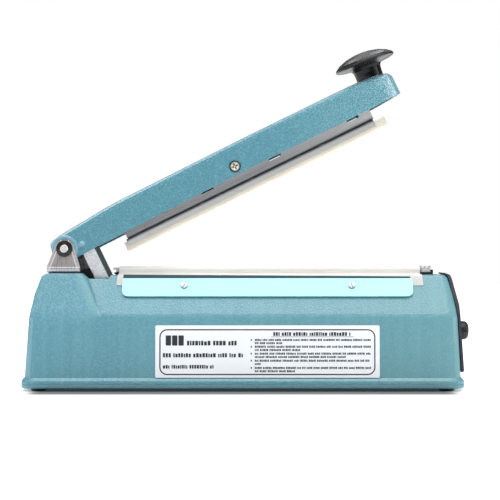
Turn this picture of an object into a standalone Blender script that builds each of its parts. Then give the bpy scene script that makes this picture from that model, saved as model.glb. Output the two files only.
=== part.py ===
"""Impulse heat sealer, 200 mm class: a painted base with a heated bed and a hinged press arm."""

import math

import bmesh
import bpy
from mathutils import Matrix, Vector

MM = 0.001

# Base, in millimetres. X runs along the bed, Y to the back, Z up from the table.
CENTRE_SHIFT = -5.0
FLANGE_HALF_X = 161.5
FLANGE_HALF_Y = 40.0
FLANGE_CORNER = 9.0
FOOT_BOTTOM = 2.6
TRAY_BOTTOM = 4.6
SEAM_Z = 7.5
FLANGE_TOP = 12.2
WALL_FOOT_Y = 38.0
CREASE_Z = 56.6
CREASE_Y = 36.0
DECK_Z = 86.7
DECK_EDGE_Y = 19.5
WALL = 2.5
FOOT_X = 149.0
FOOT_Y = 30.0
FOOT_RADIUS = 5.6

# Hinge.
PIVOT_X = -132.0
PIVOT_Z = 106.1
OPEN_ANGLE = 26.0
PIN_RADIUS = 3.0
EAR_INSIDE = 16.2
EAR_THICK = 1.9
BRACKET_X = (-144.9, -120.7)
BRACKET_Z = 88.55

# Arm and press bar, along the arm (s) and square to it (n) from the pivot.
BAR_PIVOT = (140.2, -0.3)
ARM_WALL = 2.6
HINGE_WALL = 1.6
STRIKER_HALF = 13.7
STRIKER_S = (10.3, 20.7)
STRIKER_END = -48.0
CHANNEL_S = (43.2, 248.3)
SILICONE_S = (40.6, 257.2)
SILICONE_N = (-21.6, -15.0)

# Sealing bed.
BED_X = (-92.6, 131.0)
BED_HALF_Y = 7.0
BED_TOP = 92.0
CLOTH_X = (-93.0, 133.0)
CLOTH_THICK = 0.3
STRIP_X = (-88.5, 124.8)
STRIP_V = (15.9, 30.7)
STRIP_MID = 24.5
STRIP_THICK = 0.9
STRIP_SCREWS = (-43.0, 80.0)

# Timer knob on the right end.
KNOB_Z = 44.8
KNOB_RADIUS = 7.0
KNOB_X = (160.4, 169.6)

SLOPE = math.degrees(math.atan2(DECK_Z - CREASE_Z, CREASE_Y - DECK_EDGE_Y))
WALL_LEAN = math.degrees(math.atan2(WALL_FOOT_Y - CREASE_Y, CREASE_Z - 13.0))


# ---------------------------------------------------------------- scene and helpers


def clear_scene():
    for obj in list(bpy.data.objects):
        bpy.data.objects.remove(obj, do_unlink=True)


def linear(value):
    return value / 12.92 if value <= 0.04045 else ((value + 0.055) / 1.055) ** 2.4


def material(name, red, green, blue, roughness, metallic=0.0):
    made = bpy.data.materials.new(name)
    made.use_nodes = True
    shader = made.node_tree.nodes["Principled BSDF"]
    colour = (linear(red / 255), linear(green / 255), linear(blue / 255), 1.0)
    shader.inputs["Base Color"].default_value = colour
    shader.inputs["Roughness"].default_value = roughness
    shader.inputs["Metallic"].default_value = metallic
    made.diffuse_color = colour
    made.roughness = roughness
    made.metallic = metallic
    return made


def collection(name):
    made = bpy.data.collections.new(name)
    bpy.context.scene.collection.children.link(made)
    return made


def empty(name, parent=None, at=(0, 0, 0), turn=(0, 0, 0)):
    made = bpy.data.objects.new(name, None)
    made.empty_display_size = 0.01
    PARTS.objects.link(made)
    return place(made, parent, at, turn)


def place(obj, parent, at=(0, 0, 0), turn=(0, 0, 0)):
    obj.parent = parent
    obj.location = [value * MM for value in at]
    obj.rotation_euler = [math.radians(value) for value in turn]
    return obj


def finish_mesh(name, shape, smooth=None):
    """Closes a bmesh in millimetres into a mesh in metres, with the faces outward."""
    bmesh.ops.remove_doubles(shape, verts=shape.verts, dist=1e-4)
    bmesh.ops.recalc_face_normals(shape, faces=shape.faces)
    bmesh.ops.scale(shape, vec=(MM, MM, MM), verts=shape.verts)
    mesh = bpy.data.meshes.new(name)
    shape.to_mesh(mesh)
    shape.free()
    if smooth is not None:
        mesh.shade_smooth()
        mesh.set_sharp_from_angle(angle=math.radians(smooth))
    return mesh


def part(name, shape, mat, parent, at=(0, 0, 0), turn=(0, 0, 0), smooth=None):
    mesh = finish_mesh(name, shape, smooth)
    mesh.materials.append(mat)
    obj = bpy.data.objects.new(name, mesh)
    PARTS.objects.link(obj)
    return place(obj, parent, at, turn)


def combine(target, shape, operation, parent=None, at=(0, 0, 0), turn=(0, 0, 0)):
    """Adds a Boolean of this shape to a part. The helper sits in the part's own frame by default."""
    label = f"{target.name}_{operation.lower()}_{len(target.modifiers)}"
    helper = bpy.data.objects.new(label, finish_mesh(label, shape))
    CUTTERS.objects.link(helper)
    helper.hide_render = True
    helper.display_type = "WIRE"
    if parent is None:
        parent = target
    place(helper, parent, at, turn)
    step = target.modifiers.new(label, "BOOLEAN")
    step.operation = operation
    step.solver = "EXACT"
    step.object = helper
    return helper


def cut(target, shape, parent=None, at=(0, 0, 0), turn=(0, 0, 0)):
    return combine(target, shape, "DIFFERENCE", parent, at, turn)


def join(target, shape, parent=None, at=(0, 0, 0), turn=(0, 0, 0)):
    return combine(target, shape, "UNION", parent, at, turn)


def bevel(obj, width, segments=2, angle=35):
    step = obj.modifiers.new("edges", "BEVEL")
    step.width = width * MM
    step.segments = segments
    step.limit_method = "ANGLE"
    step.angle_limit = math.radians(angle)
    step.harden_normals = False
    return obj


def box(x, y, z):
    shape = bmesh.new()
    bmesh.ops.create_cube(shape, size=1.0)
    size = (x[1] - x[0], y[1] - y[0], z[1] - z[0])
    middle = ((x[0] + x[1]) / 2, (y[0] + y[1]) / 2, (z[0] + z[1]) / 2)
    bmesh.ops.scale(shape, vec=size, verts=shape.verts)
    bmesh.ops.translate(shape, vec=middle, verts=shape.verts)
    return shape


def tube_of(rings, closed_ends=True):
    """A loft through rings of equal length. Each ring is a list of (x, y, z)."""
    shape = bmesh.new()
    rows = [[shape.verts.new(point) for point in ring] for ring in rings]
    count = len(rings[0])
    for low, high in zip(rows, rows[1:]):
        for i in range(count):
            j = (i + 1) % count
            shape.faces.new((low[i], low[j], high[j], high[i]))
    if closed_ends:
        shape.faces.new(rows[0])
        shape.faces.new(rows[-1])
    return shape


def prism(outline, low, high, axis="Y"):
    """A flat outline pushed through a depth: (x, z) along Y, (y, z) along X or (x, y) along Z."""
    lift = {
        "X": lambda a, b, d: (d, a, b),
        "Y": lambda a, b, d: (a, d, b),
        "Z": lambda a, b, d: (a, b, d),
    }[axis]
    return tube_of([[lift(a, b, depth) for a, b in outline] for depth in (low, high)])


def turned(profile, segments=24):
    """A turned piece about Z from (radius, height) pairs. A profile off the axis closes into a ring."""
    shape = bmesh.new()
    points = [shape.verts.new((radius, 0.0, height)) for radius, height in profile]
    edges = [shape.edges.new(pair) for pair in zip(points, points[1:])]
    if profile[0][0] > 0 and profile[-1][0] > 0:
        edges.append(shape.edges.new((points[-1], points[0])))
    bmesh.ops.spin(
        shape,
        geom=points + edges,
        cent=(0, 0, 0),
        axis=(0, 0, 1),
        angle=math.tau,
        steps=segments,
        use_merge=True,
    )
    return shape


def rod(radius, low, high, segments=20):
    return turned([(0, low), (radius, low), (radius, high), (0, high)], segments)


def rounded(x0, x1, y0, y1, radius, steps=4):
    """A rectangle outline with round corners."""
    points = []
    corners = (
        (x1 - radius, y0 + radius, -90),
        (x1 - radius, y1 - radius, 0),
        (x0 + radius, y1 - radius, 90),
        (x0 + radius, y0 + radius, 180),
    )
    for cx, cy, start in corners:
        for i in range(steps + 1):
            angle = math.radians(start + 90 * i / steps)
            points.append((cx + radius * math.cos(angle), cy + radius * math.sin(angle)))
    return points


def stack(levels, steps=4):
    """A loft up Z through rounded rectangles: (z, x0, x1, half_y, corner)."""
    rings = []
    for z, x0, x1, half, corner in levels:
        outline = rounded(x0, x1, -half, half, corner, steps)
        rings.append([(x, y, z) for x, y in outline])
    return tube_of(rings)


def arc(cx, cy, radius, start, end, steps):
    points = []
    for i in range(steps + 1):
        angle = math.radians(start + (end - start) * i / steps)
        points.append((cx + radius * math.cos(angle), cy + radius * math.sin(angle)))
    return points


def rounded_polygon(corners, steps=3):
    """An outline with each corner given as (x, y, radius)."""
    points = []
    count = len(corners)
    for i, (x, y, radius) in enumerate(corners):
        here = Vector((x, y))
        if radius <= 0:
            points.append((x, y))
            continue
        before = Vector(corners[i - 1][:2])
        after = Vector(corners[(i + 1) % count][:2])
        to_before = (before - here).normalized()
        to_after = (after - here).normalized()
        half = to_before.angle(to_after) / 2
        reach = radius / math.tan(half)
        start = here + to_before * reach
        end = here + to_after * reach
        for j in range(steps + 1):
            t = j / steps
            mix = (1 - t) ** 2 * start + 2 * t * (1 - t) * here + t**2 * end
            points.append((mix.x, mix.y))
    return points


def screw(name, mat, parent, at, turn, head, shank, drive, segments=20):
    """A pan-head screw along local Z with the underside of the head at 0."""
    head_radius, head_height = head
    shank_radius, shank_length = shank
    profile = [
        (0, -shank_length),
        (shank_radius, -shank_length + shank_radius * 0.6),
        (shank_radius, 0),
        (head_radius * 0.97, 0),
        (head_radius, head_height * 0.35),
        (head_radius * 0.82, head_height * 0.82),
        (0, head_height),
    ]
    made = part(name, turned(profile, segments), mat, parent, at, turn, smooth=40)
    reach = head_radius * (1.4 if drive == "slot" else 0.62)
    width = head_radius * 0.13
    depth = (head_height * 0.55, head_height * 1.5)
    cut(made, box((-reach, reach), (-width, width), depth))
    if drive == "cross":
        cut(made, box((-width, width), (-reach, reach), depth))
    return made


# ---------------------------------------------------------------- materials

clear_scene()
PARTS = collection("impulse_heat_sealer")
CUTTERS = collection("cutters")

TEAL = material("teal_hammertone_paint", 104, 158, 173, 0.38)
TRAY_TEAL = material("teal_tray_paint", 102, 154, 168, 0.42)
ARM_TEAL = material("teal_arm_paint", 104, 162, 178, 0.36)
PALE_TEAL = material("pale_gloss_strip", 200, 243, 243, 0.22)
BLACK = material("black_plastic", 40, 44, 52, 0.42)
KNOB_BLACK = material("black_knob_plastic", 48, 48, 49, 0.34)
RUBBER = material("black_rubber", 32, 32, 33, 0.8)
GREY_BAR = material("grey_bar_paint", 156, 156, 155, 0.5)
ALUMINIUM = material("drawn_aluminium", 205, 207, 208, 0.35, 1.0)
ZINC = material("zinc_plated_steel", 190, 193, 196, 0.38, 1.0)
BRIGHT = material("bright_steel", 170, 168, 168, 0.22, 1.0)
SPRING = material("spring_steel", 120, 120, 124, 0.35, 1.0)
SILICONE = material("cream_silicone", 236, 224, 200, 0.6)
CLOTH = material("coated_glass_cloth", 228, 229, 226, 0.5)
NICHROME = material("heating_ribbon", 150, 146, 140, 0.4, 1.0)
LABEL = material("printed_label", 238, 240, 240, 0.4)
LENS = material("red_lens", 190, 40, 32, 0.2)
BOARD = material("green_board", 38, 96, 62, 0.5)
COPPER = material("enamelled_copper", 176, 96, 52, 0.35, 1.0)
LAMINATION = material("core_laminations", 92, 90, 92, 0.5, 1.0)
SWITCH_BROWN = material("switch_case", 52, 44, 42, 0.5)
BRASS = material("brass", 196, 164, 92, 0.3, 1.0)
BLACKENED = material("blackened_steel", 44, 42, 42, 0.4, 1.0)

FRAME = empty("machine_frame", at=(CENTRE_SHIFT, 0, -FOOT_BOTTOM))
ARM = empty("arm_hinge_axis", FRAME, (PIVOT_X, 0, PIVOT_Z), (0, -OPEN_ANGLE, 0))
BAR = empty("bar_rock_axis", ARM, (BAR_PIVOT[0], 0, BAR_PIVOT[1]))
FRONT_SLOPE = empty("front_slope", FRAME, (0, -CREASE_Y, CREASE_Z), (SLOPE, 0, 0))
BACK_SLOPE = empty("back_slope", FRAME, (0, CREASE_Y, CREASE_Z), (SLOPE, 0, 180))
FRONT_WALL = empty("front_wall", FRAME, (0, -WALL_FOOT_Y, 13.0), (90 - WALL_LEAN, 0, 0))
DIAL = empty("timer_dial_axis", FRAME, (KNOB_X[0], 0, KNOB_Z), (0, 90, 0))

# ---------------------------------------------------------------- base housing

housing = part(
    "base_housing",
    stack(
        [
            (SEAM_Z + 0.06, 0.15 - FLANGE_HALF_X, FLANGE_HALF_X - 0.15, 39.85, FLANGE_CORNER),
            (SEAM_Z + 0.25, -FLANGE_HALF_X, FLANGE_HALF_X, FLANGE_HALF_Y, FLANGE_CORNER),
            (FLANGE_TOP - 2.7, -FLANGE_HALF_X, FLANGE_HALF_X, FLANGE_HALF_Y, FLANGE_CORNER),
            (FLANGE_TOP - 1.7, 0.4 - FLANGE_HALF_X, FLANGE_HALF_X - 0.4, 39.6, FLANGE_CORNER),
            (FLANGE_TOP - 0.3, 1.5 - FLANGE_HALF_X, FLANGE_HALF_X - 1.5, 38.5, FLANGE_CORNER),
            (FLANGE_TOP + 0.2, -159.3, 159.3, WALL_FOOT_Y, 8),
            (54.8, -156.45, 157.03, CREASE_Y + 0.08, 7),
            (56.6, -156.25, 156.95, CREASE_Y - 0.28, 7),
            (58.6, -155.9, 156.7, CREASE_Y - 1.1, 7),
            (62.0, -155.3, 156.3, 33.04, 6.5),
            (73.0, -152.7, 154.2, 27.01, 5),
            (84.6, -148.2, 151.4, 20.65, 4),
            (86.2, -146.8, 150.2, 19.2, 4),
            (DECK_Z, -145.4, 148.6, 18.0, 4),
        ]
    ),
    TEAL,
    FRAME,
    smooth=24,
)


def pedestal_ring(z, left, half, radius, inset=0.0, turn=5.0):
    """A level of the pedestal. Its right side leans, and turns towards the front and the back."""
    middle = -115.4 - 0.655 * (z - 88.0) - inset
    front = -118.5 + (108.5 * (26.0 - half) - 148.0 * (z - 88.0)) / 226.0 - inset
    outline = rounded_polygon(
        [
            (left, -half, radius),
            (front, -half, turn),
            (middle, -19.5, turn * 0.7),
            (middle, 19.5, turn * 0.7),
            (front, half, turn),
            (left, half, radius),
        ],
        3,
    )
    return [(x, y, z) for x, y in outline]


join(
    housing,
    tube_of(
        [
            pedestal_ring(50.0, -153.0, 35.2, 4),
            pedestal_ring(56.4, -155.7, 35.75, 4),
            pedestal_ring(73.0, -152.5, 30.6, 4),
            pedestal_ring(85.6, -148.0, 26.8, 4, 0.0, 4.4),
            pedestal_ring(87.4, -145.4, 26.0, 3.6, 0.4, 4.0),
            pedestal_ring(88.0, -143.4, 24.8, 3.0, 1.2, 3.6),
        ]
    ),
)
cut(
    housing,
    stack(
        [
            (7.0, -155.6, 155.4, 35.4, 6),
            (56.0, -152.4, 153.2, 33.4, 5),
            (62.0, -151.2, 152.6, 30.1, 4),
            (80.9, -146.4, 147.6, 19.8, 3),
        ]
    ),
)
cut(
    housing,
    stack(
        [
            (79.0, -92.0, 147.9, 20.8, 3),
            (84.2, -92.0, 146.6, 17.9, 3),
        ]
    ),
)
cut(
    housing,
    tube_of(
        [
            pedestal_ring(48.0, -150.6, 32.6, 3, 4.0, 3.0),
            pedestal_ring(56.4, -151.6, 32.9, 3, 4.0, 3.0),
            pedestal_ring(85.4, -144.2, 24.0, 3, 4.0, 2.4),
        ]
    ),
)
# Notch in the deck beside the pedestal, where the guide sits.
cut(
    housing,
    prism([(-120.2, 89.5), (-113.4, 83.9), (-99.0, 83.9), (-95.8, 89.5)], -30, 30),
)
cut(housing, box((-124.2, -95.7), (-15.9, 15.9), (77, 95)))
# Corner posts for the foot screws.
for side in (-1, 1):
    for end in (-1, 1):
        post = rounded(
            min(end * 143.5, end * 156.5),
            max(end * 143.5, end * 156.5),
            min(side * 25.6, side * 35.9),
            max(side * 25.6, side * 35.9),
            2.0,
            2,
        )
        join(housing, prism(post, 8.6, 26.0, "Z"))
for side in (-1, 1):
    for end in (-1, 1):
        cut(housing, rod(1.75, 5, 24, 10), at=(end * FOOT_X, side * FOOT_Y, 0))
# Bracket screws, timer bush, lens, cord entry and fuse openings.
for x in (-139.0, -128.6):
    cut(housing, rod(2.15, 80, 92, 12), at=(x, 0, 0))
cut(housing, rod(4.0, -10, 10, 20), at=(156.5, 0, KNOB_Z), turn=(0, 90, 0))
cut(housing, rod(4.6, -10, 10, 20), at=(156.0, 0, 68.0), turn=(0, 90, 0))
cut(housing, rod(5.2, 20, 50, 20), at=(118.0, 0, 30.0), turn=(-90, 0, 0))
cut(housing, rod(6.3, 20, 50, 20), at=(84.0, 0, 30.0), turn=(-90, 0, 0))
for slope in (FRONT_SLOPE, BACK_SLOPE):
    for x in STRIP_SCREWS:
        along = x if slope is FRONT_SLOPE else -x
        cut(housing, rod(1.65, -8, 4, 12), parent=slope, at=(along, STRIP_MID, 0))

# ---------------------------------------------------------------- tray, feet and screws

tray = part(
    "bottom_tray",
    stack(
        [
            (TRAY_BOTTOM, 1.0 - FLANGE_HALF_X, FLANGE_HALF_X - 1.0, 39.0, FLANGE_CORNER),
            (TRAY_BOTTOM + 0.5, 0.2 - FLANGE_HALF_X, FLANGE_HALF_X - 0.2, 39.8, FLANGE_CORNER),
            (TRAY_BOTTOM + 1.1, -FLANGE_HALF_X, FLANGE_HALF_X, FLANGE_HALF_Y, FLANGE_CORNER),
            (SEAM_Z - 0.25, -FLANGE_HALF_X, FLANGE_HALF_X, FLANGE_HALF_Y, FLANGE_CORNER),
            (SEAM_Z - 0.06, 0.15 - FLANGE_HALF_X, FLANGE_HALF_X - 0.15, 39.85, FLANGE_CORNER),
        ]
    ),
    TRAY_TEAL,
    FRAME,
    smooth=24,
)
cut(tray, stack([(6.9, -154.8, 154.8, 34.8, 5), (12.0, -154.8, 154.8, 34.8, 5)]))
for side in (-1, 1):
    for end in (-1, 1):
        join(tray, rod(5.0, 6.0, 8.4, 12), at=(end * FOOT_X, side * FOOT_Y, 0))
for side in (-1, 1):
    for end in (-1, 1):
        cut(tray, rod(1.9, 0, 14, 10), at=(end * FOOT_X, side * FOOT_Y, 0))
        cut(tray, rod(FOOT_RADIUS + 0.15, 0, 5.9, 18), at=(end * FOOT_X, side * FOOT_Y, 0))
for x in (104.0, 138.0):
    join(tray, rod(3.0, 6.5, 14.0, 10), at=(x, -22.0, 0))
    join(tray, rod(3.0, 6.5, 14.0, 10), at=(x, 16.0, 0))
for i in range(5):
    x = -66.0 + 10.0 * i
    cut(tray, prism(rounded(x - 1.6, x + 1.6, -18, 18, 1.59, 2), 2, 9, "Z"))

for depth, side in (("front", -1), ("back", 1)):
    for hand, end in (("left", -1), ("right", 1)):
        corner = f"{depth}_{hand}"
        at = (end * FOOT_X, side * FOOT_Y, 0)
        foot = turned(
            [
                (3.7, FOOT_BOTTOM),
                (FOOT_RADIUS - 0.5, FOOT_BOTTOM),
                (FOOT_RADIUS, FOOT_BOTTOM + 0.5),
                (FOOT_RADIUS - 0.1, 5.8),
                (2.0, 5.8),
                (2.0, 4.5),
                (3.7, 4.5),
            ],
            18,
        )
        part(f"foot_{corner}", foot, RUBBER, FRAME, at, smooth=35)
        screw(
            f"foot_screw_{corner}",
            ZINC,
            FRAME,
            (at[0], at[1], 4.45),
            (180, 0, 0),
            (3.2, 1.3),
            (1.6, 15.4),
            "cross",
            12,
        )

# ---------------------------------------------------------------- end panel, timer and lamp

panel_outside = [
    (160.6, 16.0, 0),
    (161.6, 16.8, 0),
    (161.5, 18.5, 0),
    (159.4, 52.0, 0),
    (158.7, 65.0, 0),
    (154.4, 84.2, 1.4),
    (153.2, 86.9, 1.4),
    (149.9, 88.2, 0),
    (149.6, 87.2, 0),
    (151.2, 86.5, 0),
    (151.8, 84.7, 0),
    (156.6, 62.1, 0),
    (157.1, 57.7, 0),
    (157.35, 55.6, 0),
    (159.55, 17.0, 0),
    (159.6, 16.0, 0),
]
panel = part(
    "end_panel",
    prism(rounded_polygon(panel_outside, 3), -34, 34, "Y"),
    BLACK,
    FRAME,
    smooth=30,
)
combine(
    panel,
    prism(
        rounded_polygon(
            [
                (-31.5, 14.0, 3),
                (31.5, 14.0, 3),
                (30.2, 57.0, 4),
                (15.6, 92.0, 0),
                (-15.6, 92.0, 0),
                (-30.2, 57.0, 4),
            ],
            3,
        ),
        140,
        166,
        "X",
    ),
    "INTERSECT",
)
cut(panel, rod(4.0, -10, 10, 20), at=(158, 0, KNOB_Z), turn=(0, 90, 0))
cut(panel, rod(4.6, -10, 10, 20), at=(156.0, 0, 68.0), turn=(0, 90, 0))

knob = part(
    "timer_knob",
    turned(
        [
            (3.25, 0.3),
            (KNOB_RADIUS, 0.3),
            (KNOB_RADIUS, 5.2),
            (KNOB_RADIUS - 0.3, 6.9),
            (KNOB_RADIUS - 1.2, 8.2),
            (KNOB_RADIUS - 2.6, 8.9),
            (0, 9.2),
            (0, 7.4),
            (3.25, 7.4),
        ],
        28,
    ),
    KNOB_BLACK,
    DIAL,
    smooth=35,
)
for i in range(6):
    angle = 60 * i + 30
    cut(
        knob,
        rod(0.9, 2.2, 12, 6),
        at=(6.75 * math.cos(math.radians(angle)), 6.75 * math.sin(math.radians(angle)), 0),
    )
part(
    "timer_shaft",
    rod(3.0, -20.0, 7.2, 20),
    BRASS,
    DIAL,
    smooth=40,
)
part(
    "potentiometer",
    turned(
        [
            (3.3, -18.5),
            (3.3, -0.5),
            (3.75, -0.6),
            (3.75, -7.5),
            (8.3, -7.5),
            (8.3, -16.0),
            (7.6, -22.5),
            (0, -22.5),
            (0, -20.6),
            (3.3, -20.6),
        ],
        18,
    ),
    BLACK,
    FRAME,
    (KNOB_X[0], 0, KNOB_Z),
    (0, 90, 0),
    smooth=35,
)
part(
    "indicator_lens",
    turned([(0, -5.0), (4.3, -5.0), (4.3, 1.6), (3.4, 2.5), (0, 2.9)], 24),
    LENS,
    FRAME,
    (156.4, 0, 68.0),
    (0, 90, 0),
    smooth=35,
)
part(
    "indicator_lamp",
    turned([(0, -10.0), (2.2, -10.0), (2.2, -2.2), (1.4, -0.6), (0, -0.2)], 16),
    BRASS,
    FRAME,
    (150.8, 0, 68.0),
    (0, 90, 0),
    smooth=40,
)

# ---------------------------------------------------------------- back wall fittings

part(
    "cord_gland",
    turned(
        [
            (3.1, 30.0),
            (3.1, 40.4),
            (5.2, 40.9),
            (6.8, 40.2),
            (7.4, 37.9),
            (4.9, 37.7),
            (4.9, 33.6),
            (6.0, 33.0),
            (5.6, 30.4),
            (4.4, 30.0),
        ],
        18,
    ),
    RUBBER,
    FRAME,
    (118.0, 0, 30.0),
    (-90, 0, 0),
    smooth=35,
)
fuse = part(
    "fuse_holder",
    turned(
        [
            (0, 10.0),
            (5.0, 10.0),
            (5.9, 11.0),
            (5.9, 37.8),
            (8.0, 37.9),
            (7.8, 39.3),
            (6.2, 39.6),
            (5.9, 40.8),
            (0, 41.0),
        ],
        18,
    ),
    BLACK,
    FRAME,
    (84.0, 0, 30.0),
    (-90, 0, 0),
    smooth=35,
)
cut(fuse, box((-4.2, 4.2), (-0.5, 0.5), (40.0, 46)))

# ---------------------------------------------------------------- inside the base

core = part("transformer_core", box((18, 66), (-16, 16), (10.0, 50.0)), LAMINATION, FRAME)
cut(core, box((26, 34), (-20, 20), (18.0, 42.0)))
cut(core, box((50, 58), (-20, 20), (18.0, 42.0)))
coil = part(
    "transformer_coil",
    prism(rounded(27.0, 57.0, -23.5, 23.5, 4, 3), 18.5, 41.5, "Z"),
    COPPER,
    FRAME,
    smooth=35,
)
cut(coil, box((33.6, 50.4), (-16.4, 16.4), (5, 60)))
bevel(core, 0.5, 1)
strap_frame = part(
    "transformer_frame",
    prism(
        [
            (7.0, 7.1),
            (77.0, 7.1),
            (77.0, 9.0),
            (68.0, 9.0),
            (68.0, 51.8),
            (16.0, 51.8),
            (16.0, 9.0),
            (7.0, 9.0),
        ],
        -13,
        13,
    ),
    ZINC,
    FRAME,
)
cut(strap_frame, box((17.6, 66.4), (-20, 20), (9.0, 50.3)))
board = part("timer_board", box((99, 141), (-25, 20), (14.3, 15.9)), BOARD, FRAME)
join(board, box((106, 122), (-20, -8), (15.5, 29.0)))
join(board, rod(5.0, 15.5, 27.0, 16), at=(131.0, -16.0, 0))
join(board, box((108, 136), (4, 16), (15.5, 21.0)))

case = part("microswitch_case", box((-118, -90.4), (-5.1, 5.1), (36.0, 51.6)), SWITCH_BROWN, FRAME)
bevel(case, 0.8, 2)
for x in (-115.0, -92.8):
    cut(case, rod(1.6, -8, 8, 12), at=(x, 0, 39.2), turn=(90, 0, 0))
join(case, rod(1.3, 51.0, 53.45, 12), at=(-98.0, 0, 0))
for x in (-114.5, -104.2, -94.0):
    join(case, box((x - 0.4, x + 0.4), (-2.4, 2.4), (30.5, 37.5)))
LEVER = empty("switch_lever_axis", FRAME, (-93.0, 0, 53.4), (0, 3, 0))
part(
    "microswitch_lever",
    prism(
        [
            (1.0, -0.6),
            (1.0, 0.4),
            (-1.0, 0.4),
            (-22.4, 5.6),
            (-26.0, 5.2),
            (-28.2, 3.6),
            (-28.0, 3.1),
            (-25.8, 4.6),
            (-22.5, 5.0),
            (-1.0, -0.4),
        ],
        -3.2,
        3.2,
    ),
    BRIGHT,
    LEVER,
)
holder = part(
    "switch_bracket",
    prism([(5.5, 7.1), (22.0, 7.1), (22.0, 8.7), (7.1, 8.7), (7.1, 50.0), (5.5, 50.0)], -119, -91, "X"),
    ZINC,
    FRAME,
)
for x in (-115.0, -92.8):
    cut(holder, rod(1.6, -12, 0, 12), at=(x, 0, 39.2), turn=(90, 0, 0))

# ---------------------------------------------------------------- hinge

gasket = part(
    "hinge_gasket",
    prism(rounded(-143.9, -120.2, -18.6, 18.6, 2, 2), 88.05, 88.5, "Z"),
    RUBBER,
    FRAME,
)
bracket_half = EAR_INSIDE + EAR_THICK
bend_out = 2.4
bend_in = 0.6
outer = [
    (-bracket_half, 118.0),
    *arc(-bracket_half + bend_out, BRACKET_Z + bend_out, bend_out, 180, 270, 4),
    *arc(bracket_half - bend_out, BRACKET_Z + bend_out, bend_out, 270, 360, 4),
    (bracket_half, 118.0),
    (EAR_INSIDE, 118.0),
    *arc(EAR_INSIDE - bend_in, BRACKET_Z + EAR_THICK + bend_in, bend_in, 360, 270, 2),
    *arc(-EAR_INSIDE + bend_in, BRACKET_Z + EAR_THICK + bend_in, bend_in, 270, 180, 2),
    (-EAR_INSIDE, 118.0),
]
bracket = part(
    "hinge_bracket",
    prism(outer, BRACKET_X[0], BRACKET_X[1], "X"),
    BRIGHT,
    FRAME,
    smooth=30,
)
ear = [
    (BRACKET_X[0], 86.0),
    (BRACKET_X[0], 93.0),
    *arc(PIVOT_X, PIVOT_Z, 7.0, 158, 14, 10),
    (BRACKET_X[1], 93.0),
    (BRACKET_X[1], 86.0),
]
combine(bracket, prism(ear, -30, 30), "INTERSECT")
# Spring stop: a wing on the back ear only.
wing = [
    (-122.0, 89.9),
    (-115.2, 89.9),
    (-115.6, 94.0),
    (-117.6, 97.5),
    (-120.9, 102.2),
    (-124.2, 102.2),
]
join(bracket, prism(wing, EAR_INSIDE + 0.1, bracket_half - 0.1))
cut(bracket, rod(3.2, -30, 30, 20), at=(PIVOT_X, 0, PIVOT_Z), turn=(90, 0, 0))
for piece in (bracket, gasket):
    cut(piece, box((-124.6, -115.0), (-15.9, 15.9), (80, 91.5)))
    for x in (-139.0, -128.6):
        cut(piece, rod(2.15, 80, 95, 12), at=(x, 0, 0))
for label, x in (("a", -139.0), ("b", -128.6)):
    screw(
        f"bracket_screw_{label}",
        ZINC,
        FRAME,
        (x, 0, BRACKET_Z + EAR_THICK + 0.1),
        (0, 0, 30),
        (3.6, 2.2),
        (2.0, 12.0),
        "cross",
        14,
    )
part(
    "pivot_pin",
    turned(
        [(0, -20.7), (2.6, -20.7), (PIN_RADIUS, -20.3), (PIN_RADIUS, 20.3), (2.6, 20.7), (0, 20.7)],
        24,
    ),
    BRIGHT,
    FRAME,
    (PIVOT_X, 0, PIVOT_Z),
    (90, 0, 0),
    smooth=40,
)
for label, side in (("front", 1), ("back", -1)):
    nut = part(
        f"push_nut_{label}",
        turned([(3.15, 18.3), (6.1, 18.3), (6.0, 19.1), (3.7, 19.9), (3.15, 19.9)], 22),
        BLACKENED,
        FRAME,
        (PIVOT_X, 0, PIVOT_Z),
        (90 * side, 0, 0),
        smooth=35,
    )
    for i in range(6):
        slot = box((4.1, 5.3), (-0.35, 0.35), (18.8, 21))
        bmesh.ops.rotate(
            slot, verts=slot.verts, cent=(0, 0, 0), matrix=Matrix.Rotation(math.tau * i / 6, 3, "Z")
        )
        cut(nut, slot)

# Torsion spring round the pin, one leg on the bracket base and one under the arm roof.
WIRE = 0.7
COIL_RADIUS = 5.2
TURNS = 5
path = []
lead = [(0.6, -14.6), (-0.4, -9.0)]
for x, z in lead:
    path.append(Vector((x, -6.0, z)))
per_turn = 11
total = per_turn * TURNS - 4
for i in range(total):
    angle = math.radians(248 + 360 * i / per_turn)
    y = -6.0 + 12.0 * i / (total - 1)
    path.append(Vector((COIL_RADIUS * math.cos(angle), y, COIL_RADIUS * math.sin(angle))))
path.append(Vector((7.0, 6.0, 7.2)))
path.append(Vector((9.6, 6.0, 10.2)))
guide = bpy.data.curves.new("return_spring_path", "CURVE")
guide.dimensions = "3D"
line = guide.splines.new("POLY")
line.points.add(len(path) - 1)
for point, at in zip(line.points, path):
    point.co = (at.x * MM, at.y * MM, at.z * MM, 1)
guide.bevel_depth = WIRE * MM
guide.bevel_resolution = 1
guide.use_fill_caps = True
spring_curve = bpy.data.objects.new("return_spring_curve", guide)
PARTS.objects.link(spring_curve)
spring_mesh = bpy.data.meshes.new_from_object(spring_curve)
bpy.data.objects.remove(spring_curve, do_unlink=True)
spring_shape = bmesh.new()
spring_shape.from_mesh(spring_mesh)
bmesh.ops.scale(spring_shape, vec=(1 / MM, 1 / MM, 1 / MM), verts=spring_shape.verts)
part("return_spring", spring_shape, SPRING, FRAME, (PIVOT_X, 0, PIVOT_Z), smooth=60)

# ---------------------------------------------------------------- striker guide

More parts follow.
